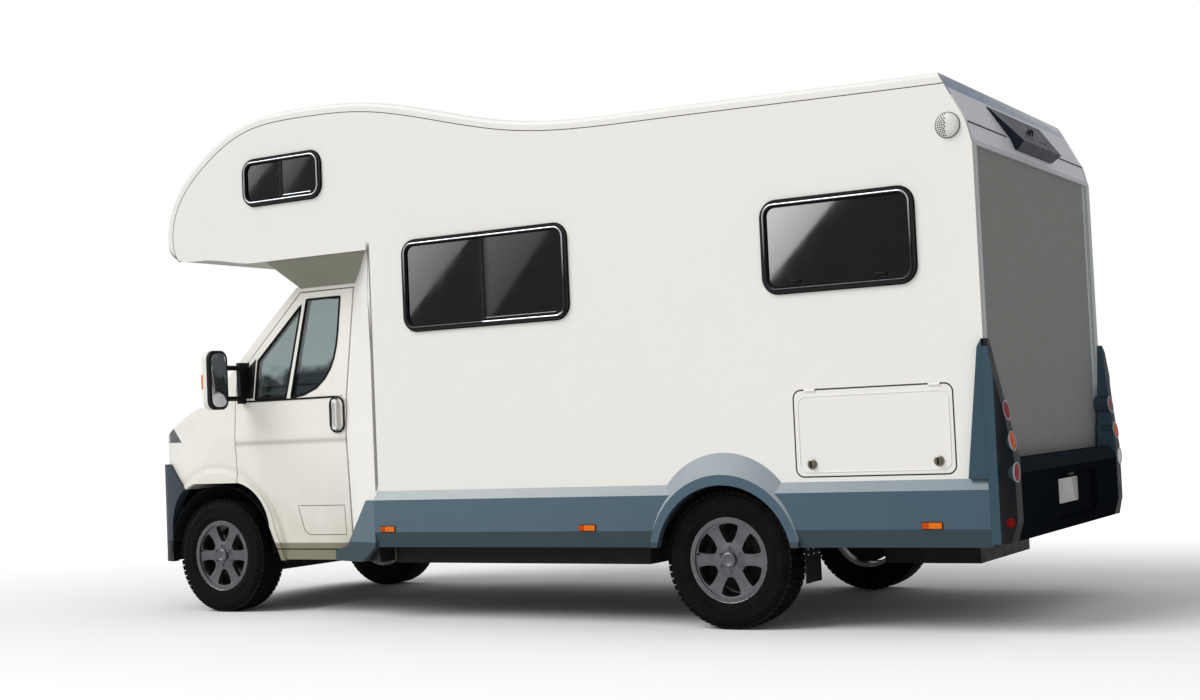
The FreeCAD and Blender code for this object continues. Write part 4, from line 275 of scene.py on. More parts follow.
def tyre_rubber(name, centre_x, centre_y):
    """Road tyre: sipes and grooves on the tread, rings and fine ribs on the sidewall, all round the axle."""
    finish = Finish(name)
    ahead, across, above = (finish.less(*pair) for pair in (
        (finish.x, centre_x), (finish.y, centre_y), (finish.z, AXLE_Z)))
    turn, radius = finish.sum("ARCTAN2", ahead, above), finish.reach(ahead, above)
    across = finish.size(across)
    tread = finish.ramp(radius, 0.352, 0.362)
    groove = finish.ramp(finish.sum("PINGPONG", finish.plus(across, 0.008), 0.022), 0.002, 0.006)
    slanted = finish.plus(finish.times(turn, SIPES_AROUND), finish.times(across, SIPE_SLANT))
    skew = finish.sum("SINE", slanted)
    blocks = finish.sum("MINIMUM", groove, finish.ramp(finish.size(skew), 0.0, 0.35))
    rings = finish.ramp(finish.sum("SINE", finish.times(radius, SIDE_RINGS)), 0.75, 1.0)
    ribs = finish.times(finish.sum("SINE", finish.times(turn, SIDE_RIBS_AROUND)),
                        finish.times(finish.ramp(radius, 0.300, 0.306), finish.falls(radius, 0.334, 0.340)))
    side = finish.plus(finish.times(rings, 0.25), finish.times(ribs, 0.10))
    dust = finish.plus(finish.cloud(9, 6, 0.0, 0.30, 0.35, 0.75), finish.times(tread, 0.35, blocks))
    finish.set(Base_Color=finish.mix(dust, shade(5, 5, 6), shade(27, 26, 25)),
               Roughness=finish.cloud(40, 4, 0.62, 0.82), Specular_IOR_Level=0.10)
    return finish.bump(finish.plus(finish.times(blocks, tread), side), 0.006, 0.8)


def cloth():
    """Woven seat cloth with a fine check."""
    finish = Finish("seat_cloth")
    weave = finish.add("ShaderNodeTexVoronoi")
    finish.links.new(finish.place, weave.inputs["Vector"])
    weave.inputs["Scale"].default_value = 420.0
    check = finish.cloud(60, 3, 0.0, 0.7, 0.45, 0.6)
    finish.set(Base_Color=finish.mix(check, shade(58, 60, 64), shade(34, 35, 38)), Sheen_Weight=0.35,
               Roughness=finish.cloud(20, 3, 0.8, 0.95), Sheen_Roughness=0.4)
    return finish.bump(weave.outputs["Distance"], 0.0008, 0.7)


def wall_finish():
    """White gelcoat with a blue strip along the roof's rear edge; painted shade makes the alcove's underside
    olive grey, darkens the groove beside the cab fairing and the wall's folded front edge, greys the faces
    turned to the rear at the rear corner, and goes near black round the rear wheel arch and below the skirt
    line.
    """
    wall = lacquer("wall_gelcoat", shade(241, 239, 234), dirt_most=0.08, gloss=0.36, coat=0.08, shine=0.3)
    turned, beside = wall.facing(), wall.beside()
    # Painted shade: near black on the wall's edge round the rear wheel arch.
    arch = wall.falls(wall.from_axle(REAR_AXLE_X), 0.500, 0.503)
    # Painted shade: dark grey in the groove by the cab fairing, and a grey band on the wall's folded front
    # edge.
    groove_shade = wall.times(wall.within(beside, 1.050, 1.0562, 0.0004), wall.within(wall.x, 0.870, 0.9185, 0.001))
    fold_shade = wall.times(wall.ramp(beside, 1.088, 1.092), wall.within(wall.x, 0.8735, 0.900, 0.0015),
                      wall.within(wall.z, 0.80, 2.30, 0.02), 0.9)
    strip = wall.times(wall.falls(wall.x, -2.781, -2.777), wall.within(wall.z, 2.70, 2.90, 0.004),
                       wall.falls(wall.size(turned["Y"]), 0.4, 0.6), wall.ramp(wall.y, -1.0, 0.6, 0.35, 0.9))
    # Painted shade: grey on faces turned to the rear at the rear corner.
    corner = wall.times(wall.falls(turned["X"], -0.7, -0.5), wall.falls(wall.x, -2.92, -2.90))
    # Painted shade: olive grey on faces turned down ahead of x 0.87, under the alcove.
    under = wall.times(wall.falls(turned["Z"], -0.20, -0.04), wall.ramp(wall.x, 0.86, 0.88), 0.86)
    # Painted shade: near black below z 0.457.
    foot = wall.falls(wall.z, 0.452, 0.462)
    return wall.paint((arch, shade(18, 19, 20)), (groove_shade, shade(84, 86, 84)), (fold_shade, shade(104, 106, 106)),
                      (strip, shade(96, 112, 134)), (corner, shade(158, 165, 160)),
                      (under, shade(118, 118, 98)), (foot, shade(30, 31, 30)))


def rear_finish():
    """Grey rear wall with paler blue-grey strips down both sides."""
    rear = lacquer("rear_panel_grey", shade(127, 127, 124), dirt_most=0.03, gloss=0.55, coat=0.0, shine=0.06)
    return rear.paint((rear.ramp(rear.beside(), 0.983, 0.987), shade(182, 187, 188)))


def board_finish():
    """Grey floor board, with painted shade in near black inside the rear wheel boxes."""
    board = plastic("floor_board_grey", shade(92, 88, 82), rough=0.7, grain=80.0, depth=0.001)
    # Painted shade inside the rear wheel boxes.
    box = board.times(board.falls(board.size(board.less(board.x, REAR_AXLE_X)), 0.60, 0.61),
                      board.ramp(board.beside(), 0.70, 0.71))
    return board.paint((box, shade(18, 19, 20)))


def cap_finish():
    """Pale grey cap over the rear wall, bluer above and to the left."""
    cap = lacquer("rear_cap_grey", shade(203, 204, 211), gloss=0.42, coat=0.05, shine=0.25)
    head = cap.times(cap.ramp(cap.z, 2.742, 2.746), cap.ramp(cap.y, -1.0, 0.7, 0.35, 0.95))
    return cap.paint((head, shade(112, 136, 168)), (cap.falls(cap.z, 2.466, 2.470), shade(178, 181, 186)))


def skirt_finish():
    """Blue-grey skirts with a painted highlight on the sloping bevel and the flares, and painted shade where
    they turn under and towards the rear.
    """
    skirt = lacquer("skirt_blue", shade(80, 103, 116), dirt=shade(60, 64, 64), dirt_top=0.75, dirt_most=0.10,
                    gloss=0.42, coat=0.05, shine=0.3)
    turned = skirt.facing()
    flat = skirt.ramp(skirt.size(turned["Y"]), 0.93, 0.965)
    # Painted highlight on faces that slope upwards.
    pale = skirt.times(skirt.less(1.0, flat), skirt.ramp(turned["Z"], -0.02, 0.06))
    # Painted shade on faces turned down and below z 0.472.
    low = skirt.most(skirt.falls(turned["Z"], -0.14, -0.06), skirt.falls(skirt.z, 0.470, 0.474))
    # Painted shade that grows towards the rear and dims the painted highlight the same way.
    rearward_shade = skirt.falls(skirt.x, -2.9, 0.2)
    lit = skirt.mix(rearward_shade, shade(172, 178, 181), shade(124, 138, 147))
    return skirt.paint((skirt.times(rearward_shade, 0.8), shade(62, 84, 102)), (pale, lit), (low, shade(52, 68, 76)))


def front_bumper_finish():
    """Blue-grey front bumper with a dark foot."""
    bumper = lacquer("front_bumper_blue", shade(46, 58, 67), dirt=shade(50, 52, 52), dirt_top=0.75,
                     dirt_most=0.1, gloss=0.42, coat=0.05, shine=0.25)
    return bumper.paint((bumper.falls(bumper.z, 0.466, 0.470), shade(18, 22, 25)))


def rear_bumper_finish():
    """Near-black rear bumper with a navy upper band."""
    bumper = plastic("rear_bumper_black", shade(17, 20, 24), rough=0.6, dust=0.01, shine=0.0)
    return bumper.paint((bumper.ramp(bumper.z, 0.796, 0.802), shade(33, 39, 46)))


def pillar_finish():
    """Tail pillars: blue-grey on the flank, navy behind."""
    pillar = lacquer("pillar_navy", shade(13, 19, 25), dirt_most=0.03, gloss=0.45, coat=0.0, shine=0.12)
    flank = pillar.ramp(pillar.size(pillar.facing()["Y"]), 0.86, 0.92)
    return pillar.paint((flank, shade(58, 80, 94)))


def cab_finish(name, waist_shade):
    """Cream cab paint, olive road film low down, a raised arch lip with a painted shade band, and on the doors
    a painted shade band for a soft crease at waist height.
    """
    cab = lacquer(name, shade(240, 238, 230), dirt=shade(150, 140, 98), dirt_top=1.02, dirt_most=0.42,
                  gloss=0.33, coat=0.15, shine=0.35)
    flank = cab.ramp(cab.beside(), 0.90, 0.93)
    # Painted shade: a darker band standing for the crease at waist height.
    waist = cab.times(cab.within(cab.z, 1.093, 1.118, 0.012), flank, waist_shade)
    away = cab.from_axle(FRONT_AXLE_X)
    cab.bump(cab.times(cab.falls(away, 0.545, 0.585), flank), 0.020, 0.9)
    # Painted shade: a darker band on the arch lip.
    edge = cab.times(cab.within(away, 0.560, 0.600, 0.018), flank, 0.22)
    sill = cab.times(cab.falls(cab.z, 0.452, 0.462), 0.85)
    return cab.paint((edge, shade(170, 170, 140)), (waist, shade(150, 150, 122)),
                     (sill, shade(112, 106, 82)))


def shell_finish():
    """The cab shell: paint outside, painted shade in near black inside the front wheel houses and the engine
    bay.
    """
    shell = cab_finish("cab_shell_paint", 0.0)
    beside = shell.beside()
    # Painted shade: near black inside the front wheel houses and the engine bay.
    house_shade = shell.times(shell.falls(shell.from_axle(FRONT_AXLE_X), 0.47, 0.475),
                        shell.falls(beside, 0.952, 0.956))
    inside = shell.times(shell.falls(beside, 0.60, 0.63), shell.falls(shell.z, 0.62, 0.64))
    return shell.paint((house_shade, shade(22, 23, 25)), (inside, shade(30, 31, 33)))


def bead_finish():
    """Inner bead of the windows: bright where it faces the light, dull along its shaded runs."""
    bead = metal("window_bright_bead", shade(62, 63, 66), rough=0.3, wear=0.15)
    sliding = bead.times(bead.ramp(bead.x, -0.70, -0.69), bead.falls(bead.x, 0.02, 0.04))
    lit = bead.most(bead.ramp(bead.z, 1.95, 2.20), bead.times(bead.falls(bead.z, 1.770, 1.785), sliding))
    return bead.paint((lit, shade(206, 209, 214)))


HEADLAMP_BOWLS = (
    # out from the middle, up, radius
    (0.775, 1.070, 0.062),
    (0.850, 1.160, 0.046),
    (0.680, 0.510, 0.036),
)


def headlamp_finish():
    """Headlamps and fog lamps behind clear covers: bright bowls with ringed reflectors in a dark bezel."""
    lamp = Finish("headlamp_unit")
    bowls = centres = 0.0
    for y, z, radius in HEADLAMP_BOWLS:
        away = lamp.reach(lamp.less(lamp.beside(), y), lamp.less(lamp.z, z))
        rings = lamp.ramp(lamp.sum("SINE", lamp.times(away, 900.0)), -1.0, 1.0, 0.55, 1.0)
        bulb = radius * 0.28
        bowls = lamp.most(bowls, lamp.times(lamp.falls(away, radius - 0.003, radius + 0.003), rings))
        centres = lamp.most(centres, lamp.falls(away, bulb - 0.003, bulb + 0.003))
    turned = lamp.facing()
    ahead = lamp.ramp(turned["X"], 0.05, 0.20)
    bowls, centres = (lamp.times(part, ahead) for part in (bowls, centres))
    back = lamp.falls(lamp.less(lamp.x, lamp.z), 1.540, 1.544)
    flank = lamp.times(lamp.ramp(lamp.size(turned["Y"]), 0.5, 0.6),
                       lamp.most(back, lamp.falls(lamp.z, 1.128, 1.132)))
    colour = lamp.mix(lamp.cloud(30, 4, 0.0, 1.0), shade(46, 48, 52), shade(64, 66, 70))
    for where, tone in ((bowls, shade(214, 218, 224)), (centres, shade(120, 128, 140)),
                        (flank, shade(238, 236, 228))):
        colour = lamp.mix(where, colour, tone)
    lamp.set(Base_Color=colour, Metallic=lamp.times(bowls, 0.75), Roughness=lamp.cloud(12, 3, 0.12, 0.20),
             Coat_Weight=0.8, Coat_Roughness=0.03)
    return lamp.bump(bowls, 0.004, 0.5)


def side_glass_finish():
    """Cab side glass: plain tint above; below a wavy slanting line, painted shade stands for the cab's shaded
    inside.
    """
    glass = cab_glass("cab_side_glass")
    # Painted shade below this line.
    edge = glass.plus(glass.plus(glass.z, glass.cloud(4.5, 2, -0.06, 0.06)), glass.times(glass.x, 0.16))
    return glass.paint((glass.ramp(edge, 1.790, 1.835, 0.9, 0.0), shade(30, 40, 44)))


def mirror_finish():
    """Mirror bodies: cream front shell over a black rim, arms and foot."""
    mirror = plastic("mirror_shell", shade(14, 15, 17), shine=0.2, dust=0.05)
    head = mirror.times(mirror.ramp(mirror.beside(), 1.1385, 1.1395), mirror.ramp(mirror.x, 2.0625, 2.0640))
    return mirror.paint((head, shade(236, 234, 226)))


def frame_finish():
    """Window frames: satin black with a painted highlight along the upper and outer lips."""
    black = plastic("window_frame_black", shade(14, 14, 16), rough=0.30, depth=0.00015, dust=0.06)
    # Painted highlight on faces turned upwards.
    lip = black.times(black.ramp(black.facing()["Z"], 0.3, 0.9), 0.35)
    return black.paint((lip, shade(96, 98, 104)))


M = {
    "wall": wall_finish(),
    "rear": rear_finish(),
    "cap": cap_finish(),
    "skirt": skirt_finish(),
    "front_bumper": front_bumper_finish(),
    "navy": pillar_finish(),
    "shell": shell_finish(),
    "door": cab_finish("cab_door_paint", 0.55),
    "tail": rear_bumper_finish(),
    "seam": plastic("joint_sealant", shade(44, 44, 46), rough=0.7, grain=400.0),
    "black": plastic("black_moulding", shade(14, 15, 17), shine=0.2),
    "frame": frame_finish(),
    "bead": bead_finish(),
    "pane": dark_pane(),
    "glass": cab_glass("cab_glass_tint"),
    "mirror": metal("mirror_glass", shade(200, 204, 208), rough=0.06, wear=0.04),
    "rim": metal("rim_silver", shade(112, 112, 116), rough=0.34, metallic=0.9, wear=0.7),
    "rim_bright": metal("rim_turned_edge", shade(196, 197, 198), rough=0.24, metallic=0.9, wear=0.3),
    "disc": metal("brake_disc_steel", shade(120, 118, 114), rough=0.3, wear=0.5),
    "chrome": metal("bright_trim", shade(214, 215, 216), rough=0.14, wear=0.08),
    "exhaust": metal("exhaust_steel", shade(122, 112, 102), rough=0.42, wear=0.6, grain=60.0),
    "chassis": metal("chassis_black", shade(16, 16, 17), rough=0.6, metallic=0.2, wear=0.5),
    "iron": metal("cast_iron_dark", shade(52, 50, 48), rough=0.65, metallic=0.5, wear=0.5, grain=60.0),
    "rubber": plastic("seal_rubber", shade(13, 13, 13), rough=0.7, grain=300.0, shine=0.15),
    "flap": plastic("flap_rubber", shade(26, 26, 27), rough=0.75, grain=200.0, depth=0.0008, dust=0.2,
                    shine=0.1),
    "red": lens("lens_red", shade(140, 18, 22)),
    "amber": lens("lens_amber", shade(240, 124, 36)),
    "amber_dark": lens("lens_amber_prisms", shade(212, 80, 20), ridge=0.003),
    "clear": lens("lens_clear", shade(225, 228, 230)),
    "pale_ring": plastic("lamp_ring_pale", shade(150, 154, 160), rough=0.35, dust=0.05),
    "cup": plastic("lamp_cup_blue", shade(50, 68, 80), shine=0.15),
    "cowl": lacquer("cowl_white", shade(226, 225, 221), gloss=0.4),
    "cowl_holes": plastic("cowl_hole_shade", shade(74, 76, 54), rough=0.8, shine=0.1),
    "plate": lacquer("blank_plate_grey", shade(150, 151, 151), dirt_most=0.12, gloss=0.3),
    "cloth": cloth(),
    "dash": plastic("dashboard_grain", shade(38, 39, 42), rough=0.6, grain=500.0),
    "board": board_finish(),
    "bronze": metal("lock_bronze", shade(128, 124, 108), rough=0.3, wear=0.5),
    "hatch": lacquer("hatch_acrylic", shade(226, 226, 223), gloss=0.25),
    "camera": lacquer("camera_housing_gloss", shade(34, 39, 51), gloss=0.40, coat=0.0, shine=0.12),
    "side_glass": side_glass_finish(),
    "headlamp": headlamp_finish(),
    "mirror_body": mirror_finish(),
}

# The finish of each solid
DRESS = {
    "wall": "side_wall_left side_wall_right roof_shell alcove_floor cab_fairings locker_door entry_door",
    "shell": "cab_shell bonnet",
    "door": "cab_door_left cab_door_right",
    "rear": "rear_wall",
    "cap": "rear_cap",
    "skirt": "skirts",
    "front_bumper": "front_bumper",
    "navy": "tail_pillars",
    "camera": "camera_housing",
    "tail": "rear_bumper",
    "black": "front_grille water_tanks",
    "mirror_body": "mirror_left mirror_right",
    "frame": "window_frames",
    "pane": "window_panes entry_window",
    "glass": "windscreen",
    "side_glass": "cab_glass_left cab_glass_right",
    "rim": "rim_front_left rim_front_right rim_rear_left rim_rear_right",
    "chassis": "chassis_frame rear_axle front_axle",
    "iron": "engine_block",
    "disc": "knuckle_left knuckle_right",
    "flap": "mud_flaps",
    "red": "lamps",
    "cloth": "cab_seats",
    "dash": "dashboard steering_wheel",
    "board": "floor_panel",
    "hatch": "roof_hatches",
    "cowl": "heater_cowl",
    "headlamp": "headlamps",
}

# The record's slot that each finish of a new piece stands for
SLOTS = {
    "black": "dark_plastic", "cup": "dark_plastic", "frame": "dark_plastic", "flap": "dark_plastic",
    "chrome": "steel", "bronze": "steel", "exhaust": "steel", "rim": "alloy", "rim_bright": "alloy",
    "iron": "iron", "wall": "white_body", "cowl": "white_body", "pale_ring": "lens", "red": "lens",
    "amber": "lens", "amber_dark": "lens", "clear": "lens", "pane": "lens", "mirror": "glass",
    "door": "cab_paint", "cloth": "seat_cloth",
}


def coat(node_name, finish):
    mesh = NODES[node_name].data
    mesh.materials.clear()
    mesh.materials.append(M[finish].material)


for finish_name, node_names in DRESS.items():
    for node_name in node_names.split():
        coat(node_name, finish_name)


# Shaping


def rounded_frame(left, right, foot, head, radius, steps=6):
    """Points (across, up) of a rectangle with rounded corners, in order."""
    points = []
    for across, up, start in (
        (right - radius, head - radius, 0), (left + radius, head - radius, 90),
        (left + radius, foot + radius, 180), (right - radius, foot + radius, 270),
    ):
        for step in range(steps + 1):
            angle = math.radians(start + 90 * step / steps)
            points.append((across + radius * math.cos(angle), up + radius * math.sin(angle)))
    return points


def grown(box, spare):
    """A box (left, right, foot, head) with its sides moved out."""
    left, right, foot, head = box
    return left - spare, right + spare, foot - spare, head + spare


def on_side(points, y):
    """Puts (along, up) points on a plane beside the vehicle."""
    return [Vector((x, y, z)) for x, z in points]


def on_rear(points, x):
    """Puts (left, up) points on a plane across the vehicle."""
    return [Vector((x, y, z)) for y, z in points]


class Shape:
    """A mesh under construction, closed with outward faces when it is done."""

    def __init__(self):
        self.bm = bmesh.new()

    def skin(self, rows, closed=False):
        """Joins rows of points, each a ring or a single point, with faces."""
        for first, second in zip(rows, rows[1:] + (rows[:1] if closed else [])):
            steps = max(len(first), len(second))
            for step in range(steps):
                after = (step + 1) % steps
                corners = (first[step % len(first)], first[after % len(first)],
                           second[after % len(second)], second[step % len(second)])
                corners = list(dict.fromkeys(corners))
                if len(corners) > 2:
                    self.bm.faces.new(corners)
        return self

    def lathe(self, centre, axis, profile, steps=36, ring=False):
        """A turned form; the profile is (along the axis, radius) from one end to the other."""
        centre, axis = Vector(centre), Vector(axis).normalized()
        side = axis.orthogonal().normalized()
        up = axis.cross(side)
        rows = []
        for reach, radius in profile:
            base = centre + axis * reach
            turns = [math.tau * step / steps for step in range(steps)] if radius > 1e-6 else [0.0]
            rows.append([
                self.bm.verts.new(base + (side * math.cos(turn) + up * math.sin(turn)) * radius)
                for turn in turns
            ])
        return self.skin(rows, ring)

    def block(self, one, other, bevel=0.004, segments=2):
        """A block between two corners with rounded edges."""
        low, high = (Vector(pick(*pair) for pair in zip(one, other)) for pick in (min, max))
        verts = bmesh.ops.create_cube(self.bm, size=1.0)["verts"]
        matrix = Matrix.Translation((low + high) / 2) @ Matrix.Diagonal((*(high - low), 1))
        bmesh.ops.transform(self.bm, matrix=matrix, verts=verts)
        edges = list({edge for vert in verts for edge in vert.link_edges})
        if bevel:
            bmesh.ops.bevel(self.bm, geom=edges, offset=bevel, segments=segments, profile=0.5,
                            affect="EDGES")
        return self

    def slab(self, points, push, bevel):
        """A flat form: an outline pushed along a direction, with its far edge rounded."""
        push = Vector(push)
        base = [self.bm.verts.new(point) for point in points]
        top = [self.bm.verts.new(point + push) for point in points]
        self.bm.faces.new(base)
        lid = self.bm.faces.new(list(reversed(top)))
        self.skin([top, base])
        bmesh.ops.bevel(self.bm, geom=list(lid.edges), offset=bevel, segments=2, profile=0.6,
                        affect="EDGES", clamp_overlap=True)
        return self

    def band(self, inner, outer, push):
        """A flat ring between two outlines with as many points, pushed along a direction."""
        push = Vector(push)
        rows = [[self.bm.verts.new(point + step) for point in line]
                for line, step in ((inner, Vector()), (inner, push), (outer, push), (outer, Vector()))]
        return self.skin(rows, True)

    def tube(self, points, radius, sides=12):
        """A round bar along a line of points, with closed ends."""
        points = [Vector(point) for point in points]
        rows = []
        side = None
        turns = [math.tau * step / sides for step in range(sides)]
        for index, point in enumerate(points):
            before, after = points[max(index - 1, 0)], points[min(index + 1, len(points) - 1)]
            ahead = (after - before).normalized()
            side = (side - ahead * side.dot(ahead) if side else ahead.orthogonal()).normalized()
            up = ahead.cross(side)
            rows.append([self.bm.verts.new(point + (side * math.cos(turn) + up * math.sin(turn)) * radius)
                         for turn in turns])
        self.skin(rows)
        self.bm.faces.new(rows[0])
        self.bm.faces.new(list(reversed(rows[-1])))
        return self

    def mesh(self):
        bmesh.ops.remove_doubles(self.bm, verts=self.bm.verts, dist=1e-6)
        bmesh.ops.recalc_face_normals(self.bm, faces=self.bm.faces)
        mesh = bpy.data.meshes.new("shape")
        self.bm.to_mesh(mesh)
        self.bm.free()
        return mesh


def put(name, form, finish, body="coach", slot="", crease=38):
    """Makes a form a piece of the vehicle that rides on one of its bodies."""
    mesh = form.mesh() if isinstance(form, Shape) else form
    mesh.name = name
    mesh.materials.clear()
    mesh.materials.append(M[finish].material)
    mesh.polygons.foreach_set("use_smooth", [True] * len(mesh.polygons))
    mesh.polygons.foreach_set("material_index", [0] * len(mesh.polygons))
    mesh.set_sharp_from_angle(angle=math.radians(crease))
    piece = bpy.data.objects.new(name, mesh)
    bpy.context.scene.collection.objects.link(piece)
    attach(piece, body)
    if slot == "":
        slot = SLOTS.get(finish)
    return piece


# Patterns: Geometry Nodes trees for what repeats or follows a line


class Pattern:
    """A Geometry Nodes tree under construction, with named sizes."""

    def __init__(self, name, sizes):
        self.tree = bpy.data.node_groups.new(name, "GeometryNodeTree")
        face = self.tree.interface
        face.new_socket("Geometry", in_out="INPUT", socket_type="NodeSocketGeometry")
        for label, kind in sizes.items():
            face.new_socket(label, in_out="INPUT", socket_type=f"NodeSocket{kind}")
        face.new_socket("Finish", in_out="INPUT", socket_type="NodeSocketMaterial")
        face.new_socket("Geometry", in_out="OUTPUT", socket_type="NodeSocketGeometry")
        self.start = self.tree.nodes.new("NodeGroupInput").outputs
        self.end = self.tree.nodes.new("NodeGroupOutput").inputs

    def add(self, kind, inputs=None, **settings):
        made = self.tree.nodes.new(kind)
        for key, value in settings.items():
            setattr(made, key, value)
        for key, value in (inputs or {}).items():
            if isinstance(value, bpy.types.NodeSocket):
                self.tree.links.new(value, made.inputs[key])
            else:
                made.inputs[key].default_value = value
        return made.outputs

    def rotation(self, **angles):
        euler = self.add("ShaderNodeCombineXYZ", angles)["Vector"]
        return self.add("FunctionNodeEulerToRotation", {"Euler": euler})["Rotation"]

    def spread(self, points, instance, rotation):
        return self.add("GeometryNodeInstanceOnPoints", {
            "Points": points, "Instance": instance, "Rotation": rotation})["Instances"]

    def close(self, geometry):
        real = self.add("GeometryNodeRealizeInstances", {"Geometry": geometry})["Geometry"]
        painted = self.add("GeometryNodeSetMaterial", {"Geometry": real, "Material": self.start["Finish"]})
        self.tree.links.new(painted["Geometry"], self.end["Geometry"])
        return self.tree


def patterned(tree, base, finish, **sizes):
    """The plain mesh that a pattern's tree makes of a base mesh."""
    holder = bpy.data.objects.new("pattern_base", base)
    bpy.context.scene.collection.objects.link(holder)
    modifier = holder.modifiers.new("pattern", "NODES")
    modifier.node_group = tree
    sockets = {item.name: item.identifier for item in tree.interface.items_tree
               if item.item_type == "SOCKET" and item.in_out == "INPUT"}
    for label, value in sizes.items():
        modifier[sockets[label.replace("_", " ")]] = value
    modifier[sockets["Finish"]] = finish
    graph = bpy.context.evaluated_depsgraph_get()
    mesh = bpy.data.meshes.new_from_object(holder.evaluated_get(graph), depsgraph=graph)
    bpy.data.objects.remove(holder)
    return mesh


def bead_pattern():
    """A round bead that follows every edge of the base."""
    pattern = Pattern("bead_along_line", {"Radius": "Float", "Sides": "Int"})
    line = pattern.add("GeometryNodeMeshToCurve", {"Mesh": pattern.start["Geometry"]})["Curve"]
    ring = pattern.add("GeometryNodeCurvePrimitiveCircle", {
        "Resolution": pattern.start["Sides"], "Radius": pattern.start["Radius"]})["Curve"]
    return pattern.close(pattern.add("GeometryNodeCurveToMesh", {
        "Curve": line, "Profile Curve": ring, "Fill Caps": True})["Mesh"])


def stud_pattern():
    """A domed screw head on every point of the base, all facing one way."""
    pattern = Pattern("stud_on_points", {"Head Radius": "Float", "Head Height": "Float", "Turn": "Vector"})
    radius, height = pattern.start["Head Radius"], pattern.start["Head Height"]
    shoulder = pattern.add("ShaderNodeMath", {0: radius, 1: 0.55}, operation="MULTIPLY")[0]
    half = pattern.add("ShaderNodeMath", {0: height, 1: 0.5}, operation="MULTIPLY")[0]
    rim = pattern.add("GeometryNodeMeshCylinder", {
        "Vertices": 12, "Radius": radius, "Depth": height})["Mesh"]
    dome = pattern.add("GeometryNodeMeshCone", {
        "Vertices": 12, "Radius Top": shoulder, "Radius Bottom": radius, "Depth": half})["Mesh"]
    lift = pattern.add("ShaderNodeCombineXYZ", {"Z": half})["Vector"]
    dome = pattern.add("GeometryNodeTransform", {"Geometry": dome, "Translation": lift})["Geometry"]
    both = pattern.add("GeometryNodeJoinGeometry")
    for part in (rim, dome):
        pattern.tree.links.new(part, both["Geometry"].node.inputs[0])
    turn = pattern.add("FunctionNodeEulerToRotation", {"Euler": pattern.start["Turn"]})["Rotation"]
    points = pattern.add("GeometryNodeMeshToPoints", {"Mesh": pattern.start["Geometry"]})["Points"]
    return pattern.close(pattern.spread(points, both["Geometry"], turn))


def tread_pattern():
    """A row of tread blocks on a circle about the Z axis."""
    pattern = Pattern("tread_row", {"Count": "Int", "Radius": "Float", "Offset": "Float", "Phase": "Float",
                                    "Block": "Vector", "Skew": "Float"})
    start = pattern.start
    ring = pattern.add("GeometryNodeMeshCircle", {
        "Vertices": start["Count"], "Radius": start["Radius"]})["Mesh"]
    place = pattern.add("ShaderNodeSeparateXYZ", {
        "Vector": pattern.add("GeometryNodeInputPosition")["Position"]})
    angle = pattern.add("ShaderNodeMath", {0: place["Y"], 1: place["X"]}, operation="ARCTAN2")[0]
    turn = pattern.add("FunctionNodeRotateRotation", {
        "Rotation": pattern.rotation(Z=angle), "Rotate By": pattern.rotation(X=start["Skew"])},
        rotation_space="LOCAL")["Rotation"]
    block = pattern.add("GeometryNodeMeshCube", {"Size": start["Block"]})["Mesh"]
    return pattern.close(pattern.add("GeometryNodeTransform", {
        "Geometry": pattern.spread(ring, block, turn), "Rotation": pattern.rotation(Z=start["Phase"]),
        "Translation": pattern.add("ShaderNodeCombineXYZ", {"Z": start["Offset"]})["Vector"]})["Geometry"])


BEAD, STUD, TREAD = bead_pattern(), stud_pattern(), tread_pattern()


def line_mesh(lines, closed=False):
    """A base of edges along lines of points, for the patterns."""
    verts, edges = [], []
    for line in lines:
        first = len(verts)
        verts += [tuple(point) for point in line]
        edges += [(first + index, first + index + 1) for index in range(len(line) - 1)]
        if closed:
            edges.append((len(verts) - 1, first))
    mesh = bpy.data.meshes.new("line")
    mesh.from_pydata(verts, edges, [])
    return mesh


def beads(name, lines, radius, finish, body="coach", closed=False, sides=8, slot=None):
    """Round beads along lines of points."""
    mesh = patterned(BEAD, line_mesh(lines, closed), M[finish].material, Radius=radius, Sides=sides)
    return put(name, mesh, finish, body, slot)


def screws(name, points, facing, radius, height, finish, slot="steel"):
    """Screw heads on points, all facing along one direction."""
    turn = Vector(facing).to_track_quat("Z", "Y").to_euler()
    mesh = patterned(STUD, line_mesh([points]), M[finish].material, Head_Radius=radius, Head_Height=height,
                     Turn=turn)
    return put(name, mesh, finish, "coach", slot)


TREES = {}


def touch(node_name, start, aim):
    """Where a line from a start along a direction first meets a solid; the start where it misses."""
    if node_name not in TREES:
        mesh = NODES[node_name].data
        TREES[node_name] = BVHTree.FromPolygons([v.co for v in mesh.vertices],
                                                [p.vertices for p in mesh.polygons])
    start, aim = Vector(start), Vector(aim).normalized()
    place, normal, _, _ = TREES[node_name].ray_cast(start, aim)
    return (place, normal) if place is not None else (start, -aim)


def from_behind(node_name, y, z):
    """The point of a solid that shows from straight behind."""
    return touch(node_name, (BEHIND_ALL, y, z), (1, 0, 0))


# Wheels


